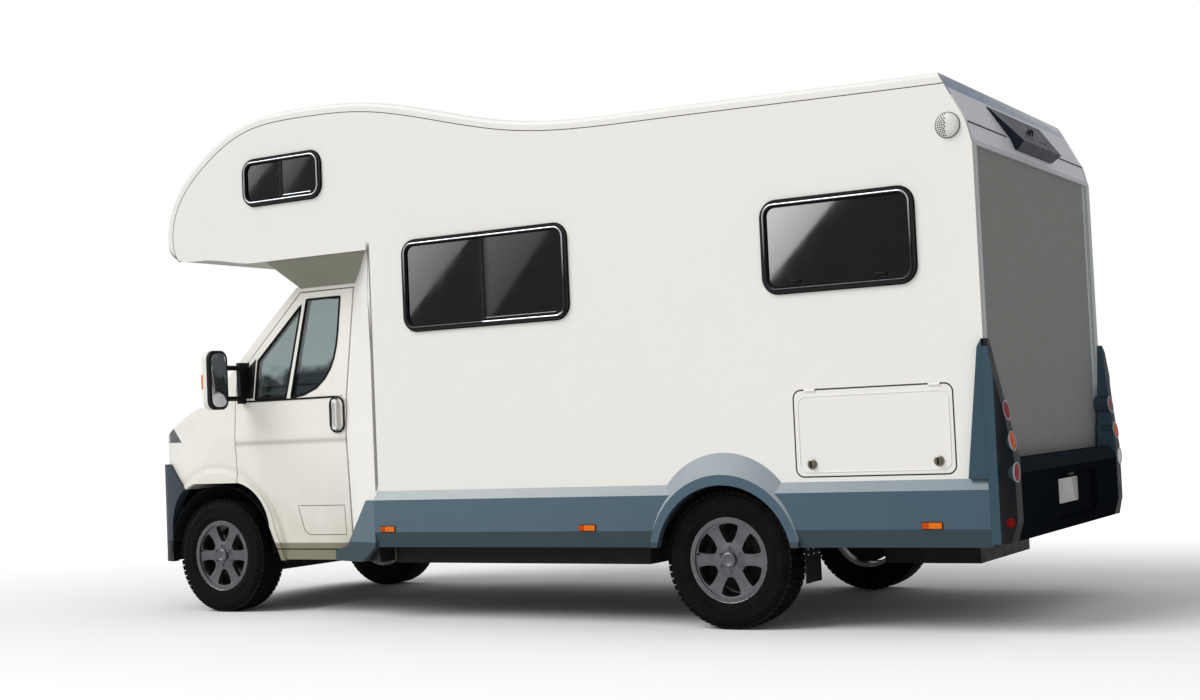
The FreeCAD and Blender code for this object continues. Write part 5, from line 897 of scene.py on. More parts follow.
TYRE_PROFILE = (
    (0.086, 0.2290), (0.097, 0.2330), (0.1015, 0.2460), (0.1050, 0.2620), (0.1062, 0.2640), (0.1056, 0.2665),
    (0.1068, 0.2900), (0.1070, 0.3060), (0.1082, 0.3080), (0.1082, 0.3240), (0.1064, 0.3260),
    (0.1040, 0.3360), (0.0985, 0.3480), (0.0900, 0.3570), (0.0780, 0.3625), (0.0400, 0.3645),
)
TREAD_ROWS = (
    # offset from the middle, blocks around, block width, skew, phase
    (-0.0790, 62, 0.0330, 0.10, 0.00),
    (-0.0395, 66, 0.0300, 0.35, 0.02),
    (0.0000, 70, 0.0300, -0.35, 0.04),
    (0.0395, 66, 0.0300, 0.35, 0.06),
    (0.0790, 62, 0.0330, -0.10, 0.03),
)
CROWN_TOP, SHOULDER_TOP, SHOULDER_FROM = 0.3716, 0.3694, 0.06
BLOCK_DEPTH, BLOCK_SHARE = 0.013, 0.80
RIM_EDGE = ((0, 0.2215), (0.008, 0.2255), (0.0095, 0.2290), (0.006, 0.2305), (-0.004, 0.2300))
WHEEL_NUT = ((0, 0.0), (0, 0.0135), (0.018, 0.0135), (0.022, 0.0095), (0.022, 0.0))
NUT_CIRCLE, NUT_OUT, NUTS = 0.065, 0.070, 6
WHEEL_CAP = ((0, 0.041), (0.010, 0.040), (0.0125, 0.036), (0.013, 0.030), (0.0115, 0.028), (0.0118, 0.0))
VALVE = ((0, 0.0055), (0.018, 0.0055), (0.019, 0.004), (0.030, 0.004), (0.031, 0.0048), (0.040, 0.0044),
         (0.041, 0.0))
BRAKE_SHIELD = ((0, 0.0), (0, 0.186), (0.004, 0.191), (0.008, 0.191), (0.006, 0.184), (0.004, 0.0))
AXLES = (
    # end, place along, half track, the shield's place across, the caliper's distance inside the wheel
    ("front", FRONT_AXLE_X, 0.845, 0.792, 0.062),
    ("rear", REAR_AXLE_X, 0.9815, 0.906, 0.030),
)


def tyre_mesh():
    """One tyre about the Z axis: a turned carcass with five rows of tread blocks."""
    half = list(TYRE_PROFILE)
    whole = half + [(-reach, radius) for reach, radius in reversed(half)]
    shape = Shape().lathe((0, 0, 0), (0, 0, 1), whole, 96, ring=True)
    empty = line_mesh([])
    for offset, count, width, skew, phase in TREAD_ROWS:
        top = SHOULDER_TOP if abs(offset) > SHOULDER_FROM else CROWN_TOP
        shape.bm.from_mesh(patterned(
            TREAD, empty, None, Count=count, Radius=top - BLOCK_DEPTH / 2, Offset=offset, Phase=phase,
            Block=(BLOCK_DEPTH, math.tau * top / count * BLOCK_SHARE, width), Skew=skew))
    return shape.mesh()


def make_wheels():
    """Treaded tyres, rim edges and nuts, caps, valves, brake shields and calipers."""
    plain = tyre_mesh()
    for end, x, track, shield_y, inset in AXLES:
        for side, sign in SIDES.items():
            key = f"{end}_{side}"
            body, centre, out = f"wheel_{key}", Vector((x, track * sign, AXLE_Z)), Vector((0, sign, 0))
            M[f"tyre_{key}"] = tyre_rubber(f"tyre_rubber_{key}", x, centre.y)
            coat(f"tyre_{key}", f"tyre_{key}")
            mesh = plain.copy()
            mesh.transform(Matrix.Translation(centre) @ Matrix.Rotation(math.radians(-90 * sign), 4, "X"))
            tyre = put(f"tyre_with_tread_{key}", mesh, f"tyre_{key}", body, "tyre", crease=30)
            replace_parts(tyre, f"tyre_{key}")
            face = abs(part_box(f"rim_{key}")[1 if sign > 0 else 0].y) - track
            ring = Shape().lathe(centre + out * (face - 0.012), out, RIM_EDGE, 72)
            for step in range(NUTS):
                turn = math.radians(90 + 360 / NUTS * step)
                nut = Vector((NUT_CIRCLE * math.cos(turn), NUT_OUT * sign, NUT_CIRCLE * math.sin(turn)))
                ring.lathe(centre + nut, out, WHEEL_NUT, 6)
            put(f"rim_edge_and_nuts_{key}", ring, "rim_bright", body)
            cap = Shape().lathe(centre + out * (face - 0.010), out, WHEEL_CAP)
            put(f"wheel_cap_{key}", cap, "rim", body)
            stem = centre + Vector((0.196, sign * (face - 0.028), 0.03))
            put(f"valve_{key}", Shape().lathe(stem, (-0.5, sign, 0), VALVE, 14), "rubber", body)
            held = f"knuckle_{side}" if end == "front" else "coach"
            shield = Shape().lathe((x, shield_y * sign, AXLE_Z), out, BRAKE_SHIELD, 56)
            put(f"brake_shield_{key}", shield, "black", held, "iron")
            y = centre.y - sign * inset
            caliper = Shape().block((x - 0.165, y - 0.032, AXLE_Z + 0.02),
                                    (x - 0.085, y + 0.032, AXLE_Z + 0.13), 0.012, 3)
            put(f"brake_caliper_{key}", caliper, "iron", held)


LINER_OUT, LINER_IN = 0.940, 0.505
LINER_RADIUS, LINER_HUB, LINER_SHEET = 0.462, 0.200, 0.003


def make_wheel_houses():
    """Black liners over the front wheels, with walls that close the view into the engine bay."""
    shape = Shape()
    arc = [math.radians(angle) for angle in range(2, 179, 8)]
    near, under = LINER_IN + LINER_SHEET, LINER_RADIUS - LINER_SHEET
    section = ((LINER_OUT, LINER_RADIUS), (LINER_IN, LINER_RADIUS), (LINER_IN, LINER_HUB),
               (near, LINER_HUB), (near, under), (LINER_OUT, under))
    for sign in SIDES.values():
        rows = [[shape.bm.verts.new((FRONT_AXLE_X + radius * math.cos(turn), y * sign,
                                     AXLE_Z + radius * math.sin(turn)))
                 for y, radius in section] for turn in arc]
        shape.skin(rows)
        for row in (rows[0], rows[-1]):
            shape.bm.faces.new(row)
        shape.block((1.950, 0.500 * sign, 0.560), (2.940, 0.506 * sign, 0.975), 0.0)
        shape.block((2.806, 0.506 * sign, 0.500), (2.812, 0.925 * sign, 0.972), 0.0)
    put("front_wheel_liners", shape, "flap")


# Living box


MID_WINDOW = (along(0.952), along(2.068), 1.768, 2.259)
REAR_WINDOW = (along(-1.120), along(-0.325), 1.805, 2.239)
ALCOVE_WINDOW = (along(2.742), along(3.334), 2.658, 2.900)
WINDOWS = (
    # side, whether it slides, opening
    (1, True, MID_WINDOW),
    (1, False, REAR_WINDOW),
    (1, True, ALCOVE_WINDOW),
    (-1, False, REAR_WINDOW),
    (-1, True, ALCOVE_WINDOW),
)
WINDOW_BEADS = (
    # name, finish, how far outside the opening, corner radius, place across, thickness
    ("window_bright_beads", "bead", 0.008, 0.058, WALL_Y + 0.0215, 0.0042),
    ("window_outer_seals", "rubber", 0.031, 0.088, WALL_Y + 0.001, 0.0045),
    ("window_inner_seals", "rubber", -0.004, 0.048, WALL_Y + 0.0125, 0.0045),
)
PANE_FACE_Y = WALL_Y + 0.0135


def make_window_trim():
    """Bright inner beads, rubber seals, sliding rails and catches of the living box windows."""
    for name, finish, spare, corner, y, radius in WINDOW_BEADS:
        lines = [on_side(rounded_frame(*grown(box, spare), corner), y * sign) for sign, _, box in WINDOWS]
        beads(name, lines, radius, finish, closed=True)
    rails, catches = [], Shape()
    for sign, slides, (rear, front, foot, head) in WINDOWS:
        y = PANE_FACE_Y * sign
        middle = (rear + front) / 2
        if slides:
            rails.append(on_side([(rear + 0.05, foot + 0.014), (middle - 0.02, foot + 0.014)], y))
            catches.block((middle + 0.018, y, foot + 0.10), (middle + 0.030, y + 0.006 * sign, foot + 0.155),
                          0.0025)
            continue
        for share in (0.2, 0.8):
            spot = rear + (front - rear) * share
            catches.block((spot - 0.028, y, foot + 0.022),
                          (spot + 0.028, y + 0.005 * sign, foot + 0.036), 0.0022)
    beads("window_slide_rails", rails, 0.0035, "bead")
    put("window_catches", catches, "black")


def wall_edge(node_name, y):
    """The upper edge of a side wall, from the rear corner over the roof to the chin of the alcove."""
    bm = bmesh.new()
    bm.from_mesh(NODES[node_name].data)
    bmesh.ops.remove_doubles(bm, verts=bm.verts, dist=1e-5)
    faces = {face for face in bm.faces
             if abs(face.normal.y) > 0.99 and abs(face.calc_center_median().y - y) < 1e-3}
    edges = {edge for edge in bm.edges if sum(face in faces for face in edge.link_faces) == 1}
    loops = []
    while edges:
        edge = edges.pop()
        loop = [edge.verts[0], edge.verts[1]]
        while loop[-1] is not loop[0]:
            found = next((e for e in loop[-1].link_edges if e in edges), None)
            if found is None:
                break
            edges.discard(found)
            loop.append(found.other_vert(loop[-1]))
        loops.append([vert.co.copy() for vert in loop[:-1]])
    bm.free()

    def nearest(line, x, z):
        return min(range(len(line)), key=lambda index: (line[index] - Vector((x, y, z))).length)

    loop = max(loops, key=lambda points: max(p.x for p in points) - min(p.x for p in points))
    rear = nearest(loop, -2.83, 2.76)
    loop = loop[rear:] + loop[:rear]
    chin = nearest(loop, 2.45, 2.36)
    one, other = loop[:chin + 1], list(reversed(loop[chin:] + loop[:1]))
    return max((one, other), key=lambda points: sum(p.z for p in points) / len(points))


CAP_SEAM_Z = 2.558


def make_wall_seams():
    """The dark seam below the roof moulding and the two runs of the rear cap's seam."""
    lines = [[point - Vector((0, 0.0016 * sign, 0))
              for point in wall_edge(f"side_wall_{side}", WALL_Y * sign)] for side, sign in SIDES.items()]
    beads("roof_moulding_seams", lines, 0.0030, "seam", sides=6)
    seams = [[from_behind("rear_cap", y, CAP_SEAM_Z)[0] for y in reach]
             for reach in ((-1.060, -0.44), (0.44, 1.060))]
    beads("rear_cap_seam", seams, 0.0045, "seam", sides=6)


LOCKER = (along(-1.296), along(-0.438), 0.812, 1.257)
LOCKER_LOCK = ((-0.004, 0.027), (0.004, 0.027), (0.006, 0.024), (0.007, 0.018), (0.020, 0.016),
               (0.023, 0.013), (0.0235, 0.0))


def make_locker_trim():
    """Raised bead, seal and two turning locks of the locker door."""
    rear, front, foot, head = LOCKER
    bead = rounded_frame(rear + 0.020, front - 0.020, foot + 0.020, head - 0.030, 0.045)
    beads("locker_door_bead", [on_side(bead, WALL_Y + 0.0005)], 0.0032, "wall", "locker_door", closed=True,
          slot="white_body")
    seal = rounded_frame(rear - 0.004, front + 0.004, foot - 0.004, head + 0.002, 0.042)
    beads("locker_seal", [on_side(seal, WALL_Y - 0.003)], 0.0035, "seam", closed=True)
    locks, keys = Shape(), Shape()
    for x in (rear + 0.083, front - 0.088):
        locks.lathe((x, WALL_Y, foot + 0.062), (0, 1, 0), LOCKER_LOCK, 28)
        keys.block((x - 0.0045, WALL_Y + 0.018, foot + 0.044),
                   (x + 0.0045, WALL_Y + 0.029, foot + 0.080), 0.003)
    put("locker_lock_cups", locks, "bronze", "locker_door")
    put("locker_lock_wings", keys, "black", "locker_door")


ENTRY = (along(0.620), along(1.220), 0.640, 2.420)
ENTRY_PANE_Z = (1.562, 2.178)
ENTRY_GRIP = ((0.050, 0.006, 1.375), (0.050, 0.020, 1.365), (0.052, 0.024, 1.33), (0.052, 0.024, 1.27),
              (0.050, 0.020, 1.235), (0.050, 0.006, 1.225))
ENTRY_LOCK = ((0, 0.010), (0.004, 0.010), (0.005, 0.007), (0.005, 0))


def make_entry_trim():
    """Handle, lock, seal and window bead of the entry door."""
    rear, front, foot, head = ENTRY
    seal = rounded_frame(rear - 0.004, front + 0.002, foot - 0.004, head + 0.004, 0.062)
    beads("entry_door_seal", [on_side(seal, 0.003 - WALL_Y)], 0.0035, "seam", closed=True)
    bead = rounded_frame(rear + 0.112, front - 0.112, *ENTRY_PANE_Z, 0.058)
    beads("entry_window_bead", [on_side(bead, -WALL_Y - 0.0005)], 0.005, "rubber", "entry_door", closed=True)
    plate = on_side(rounded_frame(rear + 0.022, rear + 0.082, 1.18, 1.40, 0.022), -WALL_Y)
    put("entry_handle_plate", Shape().slab(plate, (0, -0.007, 0), 0.002), "black", "entry_door")
    grip = Shape().tube([(rear + ahead, -WALL_Y - out, z) for ahead, out, z in ENTRY_GRIP], 0.0065)
    grip.lathe((rear + 0.052, -WALL_Y - 0.006, 1.203), (0, -1, 0), ENTRY_LOCK, 20)
    put("entry_handle_grip", grip, "chrome", "entry_door")


COWL_X, COWL_Z = along(-1.348), 2.545
COWL_DOME = ((0.001, 0.062), (0.011, 0.0615), (0.018, 0.058), (0.024, 0.049), (0.0280, 0.034),
             (0.0297, 0.016), (0.0299, 0.0))
COWL_FLANGE = ((0.0005, 0.0655), (0.003, 0.0655), (0.004, 0.062))
HOLE_RINGS, HOLE_PITCH = 5, 0.0108


def make_cowl():
    """Domed heater cowl, smooth behind, with dark heads over its forward half as painted shade for holes; it
    replaces the plain cowl.
    """
    foot, left = (COWL_X, WALL_Y, COWL_Z), (0, 1, 0)
    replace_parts(put("heater_cowl_dome", Shape().lathe(foot, left, COWL_DOME, 48), "cowl"), "heater_cowl")
    points = []
    for ring in range(1, HOLE_RINGS + 1):
        radius = ring * HOLE_PITCH
        for (low, wide), (high, narrow) in zip(COWL_DOME, COWL_DOME[1:]):
            if narrow <= radius <= wide:
                height = low + (high - low) * (wide - radius) / max(wide - narrow, 1e-6)
        for step in range(ring * 6):
            turn = math.tau * step / (ring * 6)
            if math.cos(turn) > 0.05:
                points.append(Vector((COWL_X + radius * math.cos(turn), WALL_Y + height,
                                      COWL_Z + radius * math.sin(turn))))
    # The holes are small dark heads on the dome: painted shade, not cut holes.
    screws("cowl_painted_hole_shades", points, left, 0.0040, 0.0018, "cowl_holes", None)
    put("heater_cowl_flange", Shape().lathe(foot, left, COWL_FLANGE, 48), "seam")


# Rear


LAMP_Y = 1.020
LAMPS = ((1.112, "red", "red"), (0.960, "amber", "amber"), (0.805, "red", "clear"))
LAMP_RING = ((-0.004, 0.0510), (0.001, 0.0515), (0.0035, 0.0500), (0.0038, 0.0470), (0.002, 0.0445),
             (-0.003, 0.0440))
LAMP_RIM = ((-0.020, 0.0), (-0.020, 0.0490), (-0.003, 0.0495), (-0.002, 0.046))
LAMP_CUP = ((0, 0.0), (0.001, 0.0490), (0.092, 0.0490), (0.093, 0.0))
LAMP_LENS = ((-0.018, 0.0440), (0.000, 0.0440), (0.0015, 0.0400), (0.0028, 0.0330), (0.0020, 0.0310),
             (0.0032, 0.0260), (0.0026, 0.0180), (0.0037, 0.0120), (0.0039, 0.0))
REFLECTOR = ((-0.004, 0.024), (0.002, 0.024), (0.0035, 0.021), (0.004, 0))
MARKERS = (along(2.261), along(0.845), along(-1.171))
MARKER_PARTS = (
    # name, finish, rear and front end, foot and head, corner, foot off the skirt, thickness, edge
    ("side_marker_bases", "black", (-0.056, 0.056), (0.534, 0.572), 0.005, -0.001, 0.004, 0.001),
    ("side_marker_lenses", "amber", (-0.052, 0.018), (0.5375, 0.5685), 0.004, 0.002, 0.0075, 0.003),
    ("side_marker_reflectors", "amber_dark", (0.020, 0.052), (0.5375, 0.5685), 0.004, 0.002, 0.0065, 0.003),
)


def make_tail_lamps():
    """Round lamps in pale rings, amber side markers and low reflectors; they replace the plain lenses."""
    rings, rims, cups = Shape(), Shape(), Shape()
    lenses = {"red": Shape(), "amber": Shape(), "clear": Shape()}
    for sign in SIDES.values():
        for height, left_colour, right_colour in LAMPS:
            face, out = from_behind("lamps", LAMP_Y * sign, height)
            centre = face - out * 0.004
            rings.lathe(centre, out, LAMP_RING, 48)
            rims.lathe(centre, out, LAMP_RIM, 40)
            cups.lathe((face.x + 0.018, face.y, face.z), (1, 0, 0), LAMP_CUP, 40)
            lenses[left_colour if sign > 0 else right_colour].lathe(centre, out, LAMP_LENS, 48)
    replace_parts(put("tail_lamp_rings", rings, "pale_ring"), "lamps")
    put("tail_lamp_rims", rims, "cup")
    put("tail_lamp_cups", cups, "cup")
    for colour, shape in lenses.items():
        put(f"tail_lenses_{colour}", shape, "amber_dark" if colour == "amber" else colour)
    for name, finish, (rear, front), (foot, head), corner, lift, thickness, edge in MARKER_PARTS:
        shape = Shape()
        for sign in SIDES.values():
            for x in MARKERS:
                outline = rounded_frame(x + rear, x + front, foot, head, corner, 3)
                shape.slab(on_side(outline, (SKIRT_Y + lift) * sign), (0, thickness * sign, 0), edge)
        put(name, shape, finish)
    reflectors = Shape()
    for sign in SIDES.values():
        place, out = from_behind("tail_pillars", 1.070 * sign, 0.560)
        reflectors.lathe(place, out, REFLECTOR, 28)
    put("bumper_reflectors", reflectors, "red")


PLATE = (-0.19, 0.205, 0.596, 0.728)
PLATE_SCREWS = ((-0.155, 0.662), (0.17, 0.662))
EYE_Z = 2.625
EYE_AIM = (-1, 0, -0.25)
EYE_RING = ((-0.01, 0.030), (0.010, 0.030), (0.014, 0.026), (0.010, 0.020), (0.006, 0.018))
EYE_GLASS = ((0.004, 0.019), (0.009, 0.015), (0.0115, 0.008), (0.012, 0.0))


def make_rear_trim():
    """Blank plate with its screws and light, and the rear camera's eye."""
    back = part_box("rear_bumper")[0].x + 0.035
    plate = on_rear(rounded_frame(*PLATE, 0.012, 4), back + 0.001)
    put("blank_plate", Shape().slab(plate, (-0.004, 0, 0), 0.001), "plate")
    screws("plate_screws", on_rear(PLATE_SCREWS, back - 0.004), ASTERN, 0.006, 0.003, "chrome")
    put("plate_light", Shape().block((back - 0.022, -0.05, 0.742), (back - 0.002, 0.06, 0.757)), "black")
    eye = (from_behind("camera_housing", 0, EYE_Z)[0].x + 0.004, 0, EYE_Z)
    put("camera_ring", Shape().lathe(eye, EYE_AIM, EYE_RING), "black")
    put("camera_lens", Shape().lathe(eye, EYE_AIM, EYE_GLASS, 28), "pane")


# Cab


CAB_FLANK = ((0.350, 0.950), (1.150, 0.990), (1.390, 0.970), (2.150, 0.850))


def cab_side(z):
    """How far out the cab's flank stands at a height."""
    for (low, near), (high, far) in zip(CAB_FLANK, CAB_FLANK[1:]):
        if z <= high:
            return near + (far - near) * (z - low) / (high - low)
    return far


def on_cab(points, sign, proud=0.0):
    """Puts (along, up) points on the cab's flank."""
    return [Vector((x, (cab_side(z) + proud) * sign, z)) for x, z in points]


def fine(points, step=0.03):
    """Adds points along the sides of an outline so that it can follow the cab's flank."""
    result = []
    for first, second in zip(points, points[1:] + points[:1]):
        count = max(1, round(math.dist(first, second) / step))
        for index in range(count):
            share = index / count
            result.append(tuple(a + (b - a) * share for a, b in zip(first, second)))
    return result


def outline(*points):
    """An outline of the cab's flank, its points along from the rear axle and up."""
    return [(along(ahead), up) for ahead, up in points]


QUARTER_PANE = outline((3.187, 1.390), (3.450, 1.390), (3.450, 1.640), (3.112, 1.985))
PANE_CORNER = outline((2.790, 1.510), (2.803, 1.455), (2.838, 1.412), (2.910, 1.390))
PANE_CURVE = outline((2.790, 1.790), (2.794, 1.705), (2.808, 1.625), (2.831, 1.560), (2.872, 1.497),
                     (2.935, 1.442), (3.030, 1.404), (3.110, 1.391))
MAIN_PANE = outline((3.143, 1.390), (3.068, 2.018), (2.790, 2.018)) + PANE_CURVE
FILLER_FLAP = outline((2.735, 0.508), (2.735, 0.694), (3.118, 0.694), (3.078, 0.545), (3.060, 0.520),
                      (3.030, 0.508))
WAIST_LINE = outline((2.72, 1.378), (3.60, 1.378))
MIRROR_MOUNT = outline((3.470, 1.398), (3.600, 1.398), (3.600, 1.535), (3.470, 1.655))
HANDLE_X, HANDLE_Z = along(2.745), 1.265
HANDLE = (HANDLE_X, HANDLE_X, HANDLE_Z - 0.056, HANDLE_Z + 0.056)
HANDLE_GRIP = ((0.006, 0.990, 0.090), (0.006, 1.008, 0.082), (0.008, 1.014, 0.060), (0.008, 1.0165, 0),
               (0.008, 1.014, -0.060), (0.006, 1.008, -0.082), (0.006, 0.990, -0.090))
DOOR_LOCK = ((0, 0.014), (0.006, 0.014), (0.008, 0.011), (0.0075, 0.008), (0.0085, 0))


def make_cab_door_trim():
    """Window seals, handle, flap outline and mirror parts of both cab doors."""
    for side, sign in SIDES.items():
        body = f"cab_door_{side}"
        seals = [on_cab(fine(line), sign, -0.001) for line in (QUARTER_PANE, MAIN_PANE)]
        beads(f"cab_window_seals_{side}", seals, 0.0075, "rubber", body, closed=True, sides=10)
        corner = on_cab(fine(PANE_CURVE + list(reversed(PANE_CORNER)), 0.05), sign, -0.0048)
        put(f"window_corner_{side}", Shape().slab(corner, (0, 0.0046 * sign, 0), 0.0004), "door", body)
        beads(f"cab_waist_seal_{side}", [on_cab(WAIST_LINE, sign, 0.001)], 0.006, "rubber", body)
        inner, outer = (on_side(rounded_frame(*grown(HANDLE, width), corner), 0.992 * sign)
                        for width, corner in ((0.048, 0.044), (0.060, 0.055)))
        put(f"door_handle_rim_{side}", Shape().band(inner, outer, (0, 0.0085 * sign, 0)), "frame", body)
        grip = [(HANDLE_X + ahead, out * sign, HANDLE_Z + up) for ahead, out, up in HANDLE_GRIP]
        put(f"door_handle_grip_{side}", Shape().tube(grip, 0.0125, 16), "chrome", body)
        lock = Shape().lathe((HANDLE_X + 0.030, 0.994 * sign, HANDLE_Z - 0.072), (0, sign, 0), DOOR_LOCK, 24)
        put(f"door_lock_{side}", lock, "chrome", body)
        if side == "left":
            beads("filler_flap_outline", [on_cab(fine(FILLER_FLAP), sign, -0.0007)], 0.0022, "seam", body,
                  closed=True, sides=6)
        make_mirror_parts(side, sign, body)


MIRROR_HEAD = (1.140, 1.310, 1.330, 1.710)


def make_mirror_parts(side, sign, body):
    """Mirror glass, amber repeater, and the mount on the window's corner."""
    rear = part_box(f"mirror_{side}")[0].x
    outer = MIRROR_HEAD[1]
    edge = [(y * sign, z) for y, z in rounded_frame(*grown(MIRROR_HEAD, -0.018), 0.0492, 5)]
    glass = Shape().slab(on_rear(edge, rear + 0.0035), (-0.002, 0, 0), 0.0008)
    put(f"mirror_glass_{side}", glass, "mirror", body)
    repeater = Shape().block((rear + 0.038, (outer - 0.052) * sign, 1.462),
                             (rear + 0.082, (outer - 0.001) * sign, 1.560), 0.008, 3)
    put(f"mirror_repeater_{side}", repeater, "amber", body)
    mount = Shape().slab(on_cab(MIRROR_MOUNT, sign, -0.003), (0, 0.008 * sign, 0), 0.003)
    put(f"mirror_mount_{side}", mount, "black", body)


SCREEN_FOOT, SCREEN_HEAD = Vector((2.322, 0, 1.425)), Vector((1.717, 0, 2.060))
SCREEN_FOOT_HALF, SCREEN_HEAD_HALF = 0.850, 0.790
SCREEN_CROWN = 0.0115
SCREEN_OUT = Vector((0.72, 0, 0.69))
WIPER_SPINDLE = ((-0.008, 0.018), (0.008, 0.017), (0.014, 0.012), (0.015, 0))


def on_screen(y, share, lift=0.0):
    """A point of the windscreen: across, up its slope from foot to head, and off its face."""
    slope = SCREEN_HEAD - SCREEN_FOOT
    outward = Vector((slope.z, 0, -slope.x)).normalized()
    crown = SCREEN_CROWN * 4 * share * (1 - share)
    return SCREEN_FOOT + Vector((0, y, 0)) + slope * share + outward * (lift + crown)


def on_scuttle(y, share):
    """A point of the body just below the windscreen, found on the cab shell itself."""
    return touch("cab_shell", on_screen(y, share, 0.30), -SCREEN_OUT)[0]


def make_screen_trim():
    """Rubber of the windscreen, wipers and scuttle slats."""
    corners = [(-SCREEN_FOOT_HALF, 0.0), (SCREEN_FOOT_HALF, 0.0), (SCREEN_HEAD_HALF, 1.0),
               (-SCREEN_HEAD_HALF, 1.0)]
    line = [on_screen(y, share, 0.0015) for y, share in fine(corners, 0.05)]
    beads("windscreen_rubber", [line], 0.0085, "rubber", closed=True, sides=10)
    arms, blades = Shape(), Shape()
    for pivot, tip in ((0.66, 0.02), (-0.08, -0.72)):
        base = on_scuttle(pivot, -0.055)
        arms.lathe(base, SCREEN_OUT, WIPER_SPINDLE, 20)
        arms.tube([base + SCREEN_OUT * 0.010, base + SCREEN_OUT * 0.022 + Vector((0, -0.03, 0.004)),
                   on_screen(pivot - 0.14, 0.030, 0.024), on_screen(pivot - 0.33, 0.085, 0.020)], 0.0055, 10)
        spots = [on_screen(pivot - 0.05 + (tip - pivot + 0.05) * share, 0.070 + 0.045 * share, 0.009)
                 for share in (0, 0.2, 0.4, 0.6, 0.8, 1)]
        blades.tube(spots, 0.0065, 8)
        arms.tube([point + SCREEN_OUT * 0.008 for point in spots[1:5]], 0.0035, 8)
    put("wiper_arms", arms, "black")
    put("wiper_blades", blades, "rubber", slot="rubber_flap")
    slats = [[on_scuttle(-0.60 + 0.10 * step, share) for step in range(13)]
             for share in (-0.030, -0.075, -0.095)]
    beads("scuttle_slats", slats, 0.0035, "black", sides=6)


def make_radiator():
    """Radiator with its tanks and fins behind the grilles, and the engine's undertray."""
    core = Shape().block((2.735, -0.430, 0.425), (2.765, 0.430, 0.945))
    for sign in SIDES.values():
        core.block((2.728, 0.425 * sign, 0.420), (2.772, 0.475 * sign, 0.950), 0.008)
    put("radiator", core, "black")
    put("engine_undertray", Shape().block((2.560, -0.490, 0.392), (3.000, 0.490, 0.398), 0.002), "black")
    fins = [on_rear([(y * 0.01, 0.44), (y * 0.01, 0.93)], 2.7665) for y in range(-42, 43, 3)]
    beads("radiator_fins", fins, 0.0012, "chassis", sides=4)


SEATS = (("driver", 0.430), ("passenger", -0.430))
SEAT_PADS = (
    # name, rear and front, half width, foot and head, lean
    ("cushion", (1.180, 1.640), 0.225, (0.888, 1.045), 0.0),
    ("backrest", (1.120, 1.225), 0.220, (1.040, 1.530), -0.135),
    ("headrest", (1.058, 1.150), 0.130, (1.575, 1.760), -0.135),
)


def make_seats():
    """Driver and passenger seats: plinth, cushion, backrest and headrest on two stalks."""
    plinths, stalks = Shape(), Shape()
    for label, y in SEATS:
        plinths.block((1.170, y - 0.19, 0.641), (1.600, y + 0.19, 0.86), 0.02, 3)
        plinths.block((1.150, y - 0.225, 0.84), (1.630, y + 0.225, 0.885), 0.012)
        for side in (-0.07, 0.07):
            stalks.tube([(1.112, y + side, 1.49), (1.096, y + side, 1.60)], 0.007, 10)
        for name, (rear, front), half, (foot, head), lean in SEAT_PADS:
            pad = soft_block((rear, y - half, foot), (front, y + half, head), lean)
            piece = put(f"seat_{name}_{label}", pad, "cloth", crease=80)
            if (name, label) == ("cushion", "driver"):
                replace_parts(piece, "cab_seats")
    put("seat_plinths", plinths, "black")
    put("headrest_stalks", stalks, "chrome")


def soft_block(low, high, lean):
    """A crowned closed pad: swollen faces, sides drawn in between the corners, a seam round its edge."""
    low, high = Vector(low), Vector(high)
    bm = bmesh.new()
    bmesh.ops.create_cube(bm, size=1.0)
    bmesh.ops.subdivide_edges(bm, edges=bm.edges, cuts=11, use_grid_fill=True)
    span = high - low
    thin = min(range(3), key=lambda axis: span[axis])
    flat = [axis for axis in range(3) if axis != thin]
    for vert in bm.verts:
        u, v, t = vert.co[flat[0]] * 2, vert.co[flat[1]] * 2, vert.co[thin] * 2
        crown = (1 - u ** 4) * (1 - v ** 4)
        edge = max(abs(u), abs(v)) ** 6
        pull = 1 + 0.045 * (1 - t * t) * edge - 0.02 * edge * abs(t)
        corner = 1 - 0.05 * (abs(u) ** 4) * (abs(v) ** 4)
        for axis in flat:
            vert.co[axis] *= pull * corner
        channel = min(abs(abs(u) - 0.55), 0.06) / 0.06 if span[thin] < 0.13 or thin == 2 else 1.0
        vert.co[thin] = t / 2 * (0.62 + 0.38 * crown) * (0.93 + 0.07 * channel)
    for vert in bm.verts:
        vert.co = Vector(vert.co[axis] * span[axis] * 0.94 for axis in range(3)) + (low + high) / 2
        vert.co.x += (vert.co.z - low.z) * lean
    bmesh.ops.recalc_face_normals(bm, faces=bm.faces)
    mesh = bpy.data.meshes.new("pad")
    bm.to_mesh(mesh)
    bm.free()
    return mesh


FRONT_PIPE = ((2.22, -0.20, 0.46), (1.9, -0.22, 0.42), (1.2, -0.26, 0.42), (0.2, -0.27, 0.42))
TAIL_PIPE = ((-0.39, -0.27, 0.42), (-0.70, -0.28, 0.42), (-0.86, -0.34, 0.41))
SILENCER = ((0, 0.028), (0.02, 0.075), (0.05, 0.085), (0.55, 0.085), (0.58, 0.075), (0.60, 0.028))


FLAP_SCREWS_Y, FLAP_SCREWS_Z = (0.90, 0.97, 1.04), (0.40, 0.43)


def make_underbody():
    """Exhaust with its silencer, and the screws of the mud flaps."""
    pipe = Shape().tube(FRONT_PIPE, 0.028, 16).lathe(FRONT_PIPE[-1], ASTERN, SILENCER, 28)
    pipe.tube(TAIL_PIPE, 0.026, 16)
    put("exhaust", pipe, "exhaust")
    points = [(y * sign, z) for y in FLAP_SCREWS_Y for z in FLAP_SCREWS_Z for sign in SIDES.values()]
    screws("flap_screws", on_rear(points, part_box("mud_flaps")[0].x - 0.0003), ASTERN, 0.007, 0.004, "chrome")


